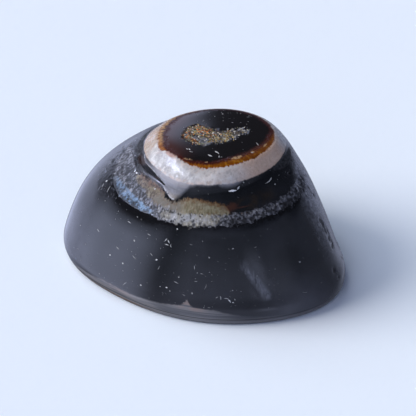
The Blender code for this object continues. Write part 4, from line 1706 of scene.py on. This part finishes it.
@dataclass(frozen=True)
class Lamp:
    """A broad soft lamp far off, by azimuth from +Y towards +X, height and width in degrees."""

    azimuth: float
    height: float
    width: float
    strength: float
    colour: Colour

    def direction(self) -> Vector:
        """Gives the direction from the stone to the lamp."""
        azimuth, height = math.radians(self.azimuth), math.radians(self.height)
        flat = math.cos(height)
        return Vector((flat * math.sin(azimuth), flat * math.cos(azimuth), math.sin(height)))

    def hang(self, name: str) -> bpy.types.Object:
        """Adds the lamp to the scene; the polish mirrors the room's glows in its place."""
        light = bpy.data.lights.new(name, "SUN")
        light.energy = self.strength
        light.angle = math.radians(self.width)
        light.color = self.colour
        made = added(name, light)
        made.rotation_mode = "QUATERNION"
        made.rotation_quaternion = self.direction().to_track_quat("Z", "Y")
        made.visible_glossy = False
        return made


@dataclass(frozen=True)
class Glow:
    """A bright part of the room as the polish mirrors it, with its edges and their softness in degrees."""

    azimuths: Span
    side_soft: float
    heights: Span
    height_softs: Span
    strength: float

    def brightness(self, g: Graph, azimuth: Number, height: Number) -> Number:
        """Gives how bright this part is in each direction.

        Args:
            g: The room's node tree.
            azimuth: The direction's azimuth in radians, from +Y towards +X.
            height: The direction's height in radians.

        Returns:
            The brightness there.
        """
        centre = math.radians(sum(self.azimuths) / 2)
        half = math.radians(self.azimuths[1] - self.azimuths[0]) / 2
        side = math.radians(self.side_soft) / 2
        (low, high), (below, above) = map(np.radians, (self.heights, np.divide(self.height_softs, 2)))
        turned = g.maths("WRAP", azimuth - centre, math.pi, -math.pi)
        across = g.step(g.maths("ABSOLUTE", turned), half + side, half - side)
        up = g.step(height, low - below, low + below) * g.step(height, high + above, high - above)
        return across * up * self.strength


@dataclass
class Studio:
    """The pale board, the soft light and the camera."""

    loft: Loft = field(default_factory=Loft)
    finish: BoardFinish = field(default_factory=BoardFinish)
    board_width: float = 1.2
    board_drop: float = 0.00002
    lamps: tuple[Lamp, ...] = (
        Lamp(-90, 28, 46, 3.62, (1.05, 1.0, 0.96)),
        Lamp(-40, 45, 40, 1.12, (0.94, 1.0, 1.08)),
        Lamp(-165, 35, 60, 0.80, (0.85, 0.93, 1.22)),
    )
    fill: float = 0.075
    fill_colour: Colour = (0.75, 0.84, 1.34)
    mirror_colour: Colour = (0.85, 0.94, 1.30)
    ceiling: float = 0.05
    seen: float = 0.90
    elevation: float = 30.0
    distance: float = 200.0
    view_width: float = 29.6
    image_width: int = 416
    eye_pixel: Span = (217.4, 254.0)
    sensor: float = 36.0
    clip: Span = (0.01, 5.0)
    glows: tuple[Glow, ...] = (
        Glow((-111, -72), 26, (-24, 15), (24, 7), 1.12),
        Glow((-111, -63), 22, (-32, 20), (28, 7), 0.86),
        Glow((-63, -15), 22, (-32, 11), (28, 9), 0.92),
        Glow((-80, -67), 6, (36, 42), (5, 6), 62.0),
        Glow((-44, -1.2), 0.8, (14, 28.5), (8, 4), 1.00),
        Glow((128, 232), 30, (-90, 18), (1, 14), 0.42),
        Glow((149, 161), 8, (0, 19), (8, 8), 0.36),
        Glow((15, 135), 30, (-90, 20), (1, 14), 0.16),
        Glow((96, 232), 20, (19, 34), (10, 10), 0.17),
        Glow((-30, 46), 32, (-25, -1), (12, 14), 0.28),
    )

    def board(self) -> bpy.types.Object:
        """Lays the pale board that the stone stands on."""
        bpy.ops.object.select_all(action="DESELECT")
        bpy.ops.mesh.primitive_plane_add(size=self.board_width, location=(0, 0, -self.board_drop))
        board = bpy.context.active_object
        board.name = "board"
        board.data.materials.append(self.finish.material())
        board.visible_glossy = False
        return board

    def surroundings(self) -> bpy.types.World:
        """Builds the room: a dark ceiling with soft bright walls, and an even fill for matt surfaces."""
        world = bpy.data.worlds.new("room")
        world.use_nodes = True
        g = Graph(world.node_tree)
        back = world.node_tree.nodes["Background"]
        split = g.node("ShaderNodeSeparateXYZ")
        g.feed(split.inputs[0], g.node("ShaderNodeTexCoord").outputs["Generated"])
        azimuth = g.maths("ARCTAN2", split.outputs[0], split.outputs[1])
        height = g.maths("ARCSINE", split.outputs[2])
        mirrored: Value = self.ceiling
        for glow in self.glows:
            mirrored = glow.brightness(g, azimuth, height) + mirrored
        path = g.node("ShaderNodeLightPath")
        glossy = path.outputs["Is Glossy Ray"]
        strength = g.blend(glossy, self.fill, mirrored)
        g.feed(back.inputs["Strength"], g.blend(path.outputs["Is Camera Ray"], strength, self.seen))
        g.feed(back.inputs["Color"], g.mix(glossy, self.fill_colour, self.mirror_colour))
        bpy.context.scene.world = world
        return world

    def camera(self) -> bpy.types.Object:
        """Stands the camera as the photograph was taken: in front, looking down on the eye."""
        tilt = math.radians(self.elevation)
        back = Vector((0, -math.cos(tilt), math.sin(tilt)))
        up = Vector((0, math.sin(tilt), math.cos(tilt)))
        eye_foot = Vector((*self.loft.eye_at, 0.0))
        pixel = self.view_width / self.image_width
        middle = self.image_width / 2
        aim = eye_foot + Vector(((middle - self.eye_pixel[0]) * pixel, 0, 0))
        aim = aim + up * ((self.eye_pixel[1] - middle) * pixel)
        data = bpy.data.cameras.new("camera")
        data.sensor_width = self.sensor
        data.lens = self.sensor * self.distance / self.view_width
        data.clip_start, data.clip_end = self.clip
        made = added("camera", data)
        stand = eye_foot + back * self.distance
        made.location = stand * METRES
        made.rotation_mode = "QUATERNION"
        made.rotation_quaternion = (aim - stand).to_track_quat("-Z", "Y")
        bpy.context.scene.camera = made
        return made

    def build(self) -> None:
        """Builds the room, and shows its colours as they are."""
        self.board()
        for number, lamp in enumerate(self.lamps, 1):
            lamp.hang(f"lamp_{number}")
        self.surroundings()
        self.camera()
        settings = bpy.context.scene.view_settings
        settings.view_transform = "Standard"
        settings.look = "None"
        log.info("studio: camera %.0f mm away, %.0f degrees up", self.distance, self.elevation)


def main() -> None:
    """Builds the studio and every piece."""
    logging.basicConfig(level=logging.INFO, format="%(name)s: %(message)s")
    Studio().build()
    Stone().dress()
    QuartzSeam().dress()
    Flecks().dress()


if __name__ == "__main__":
    main()
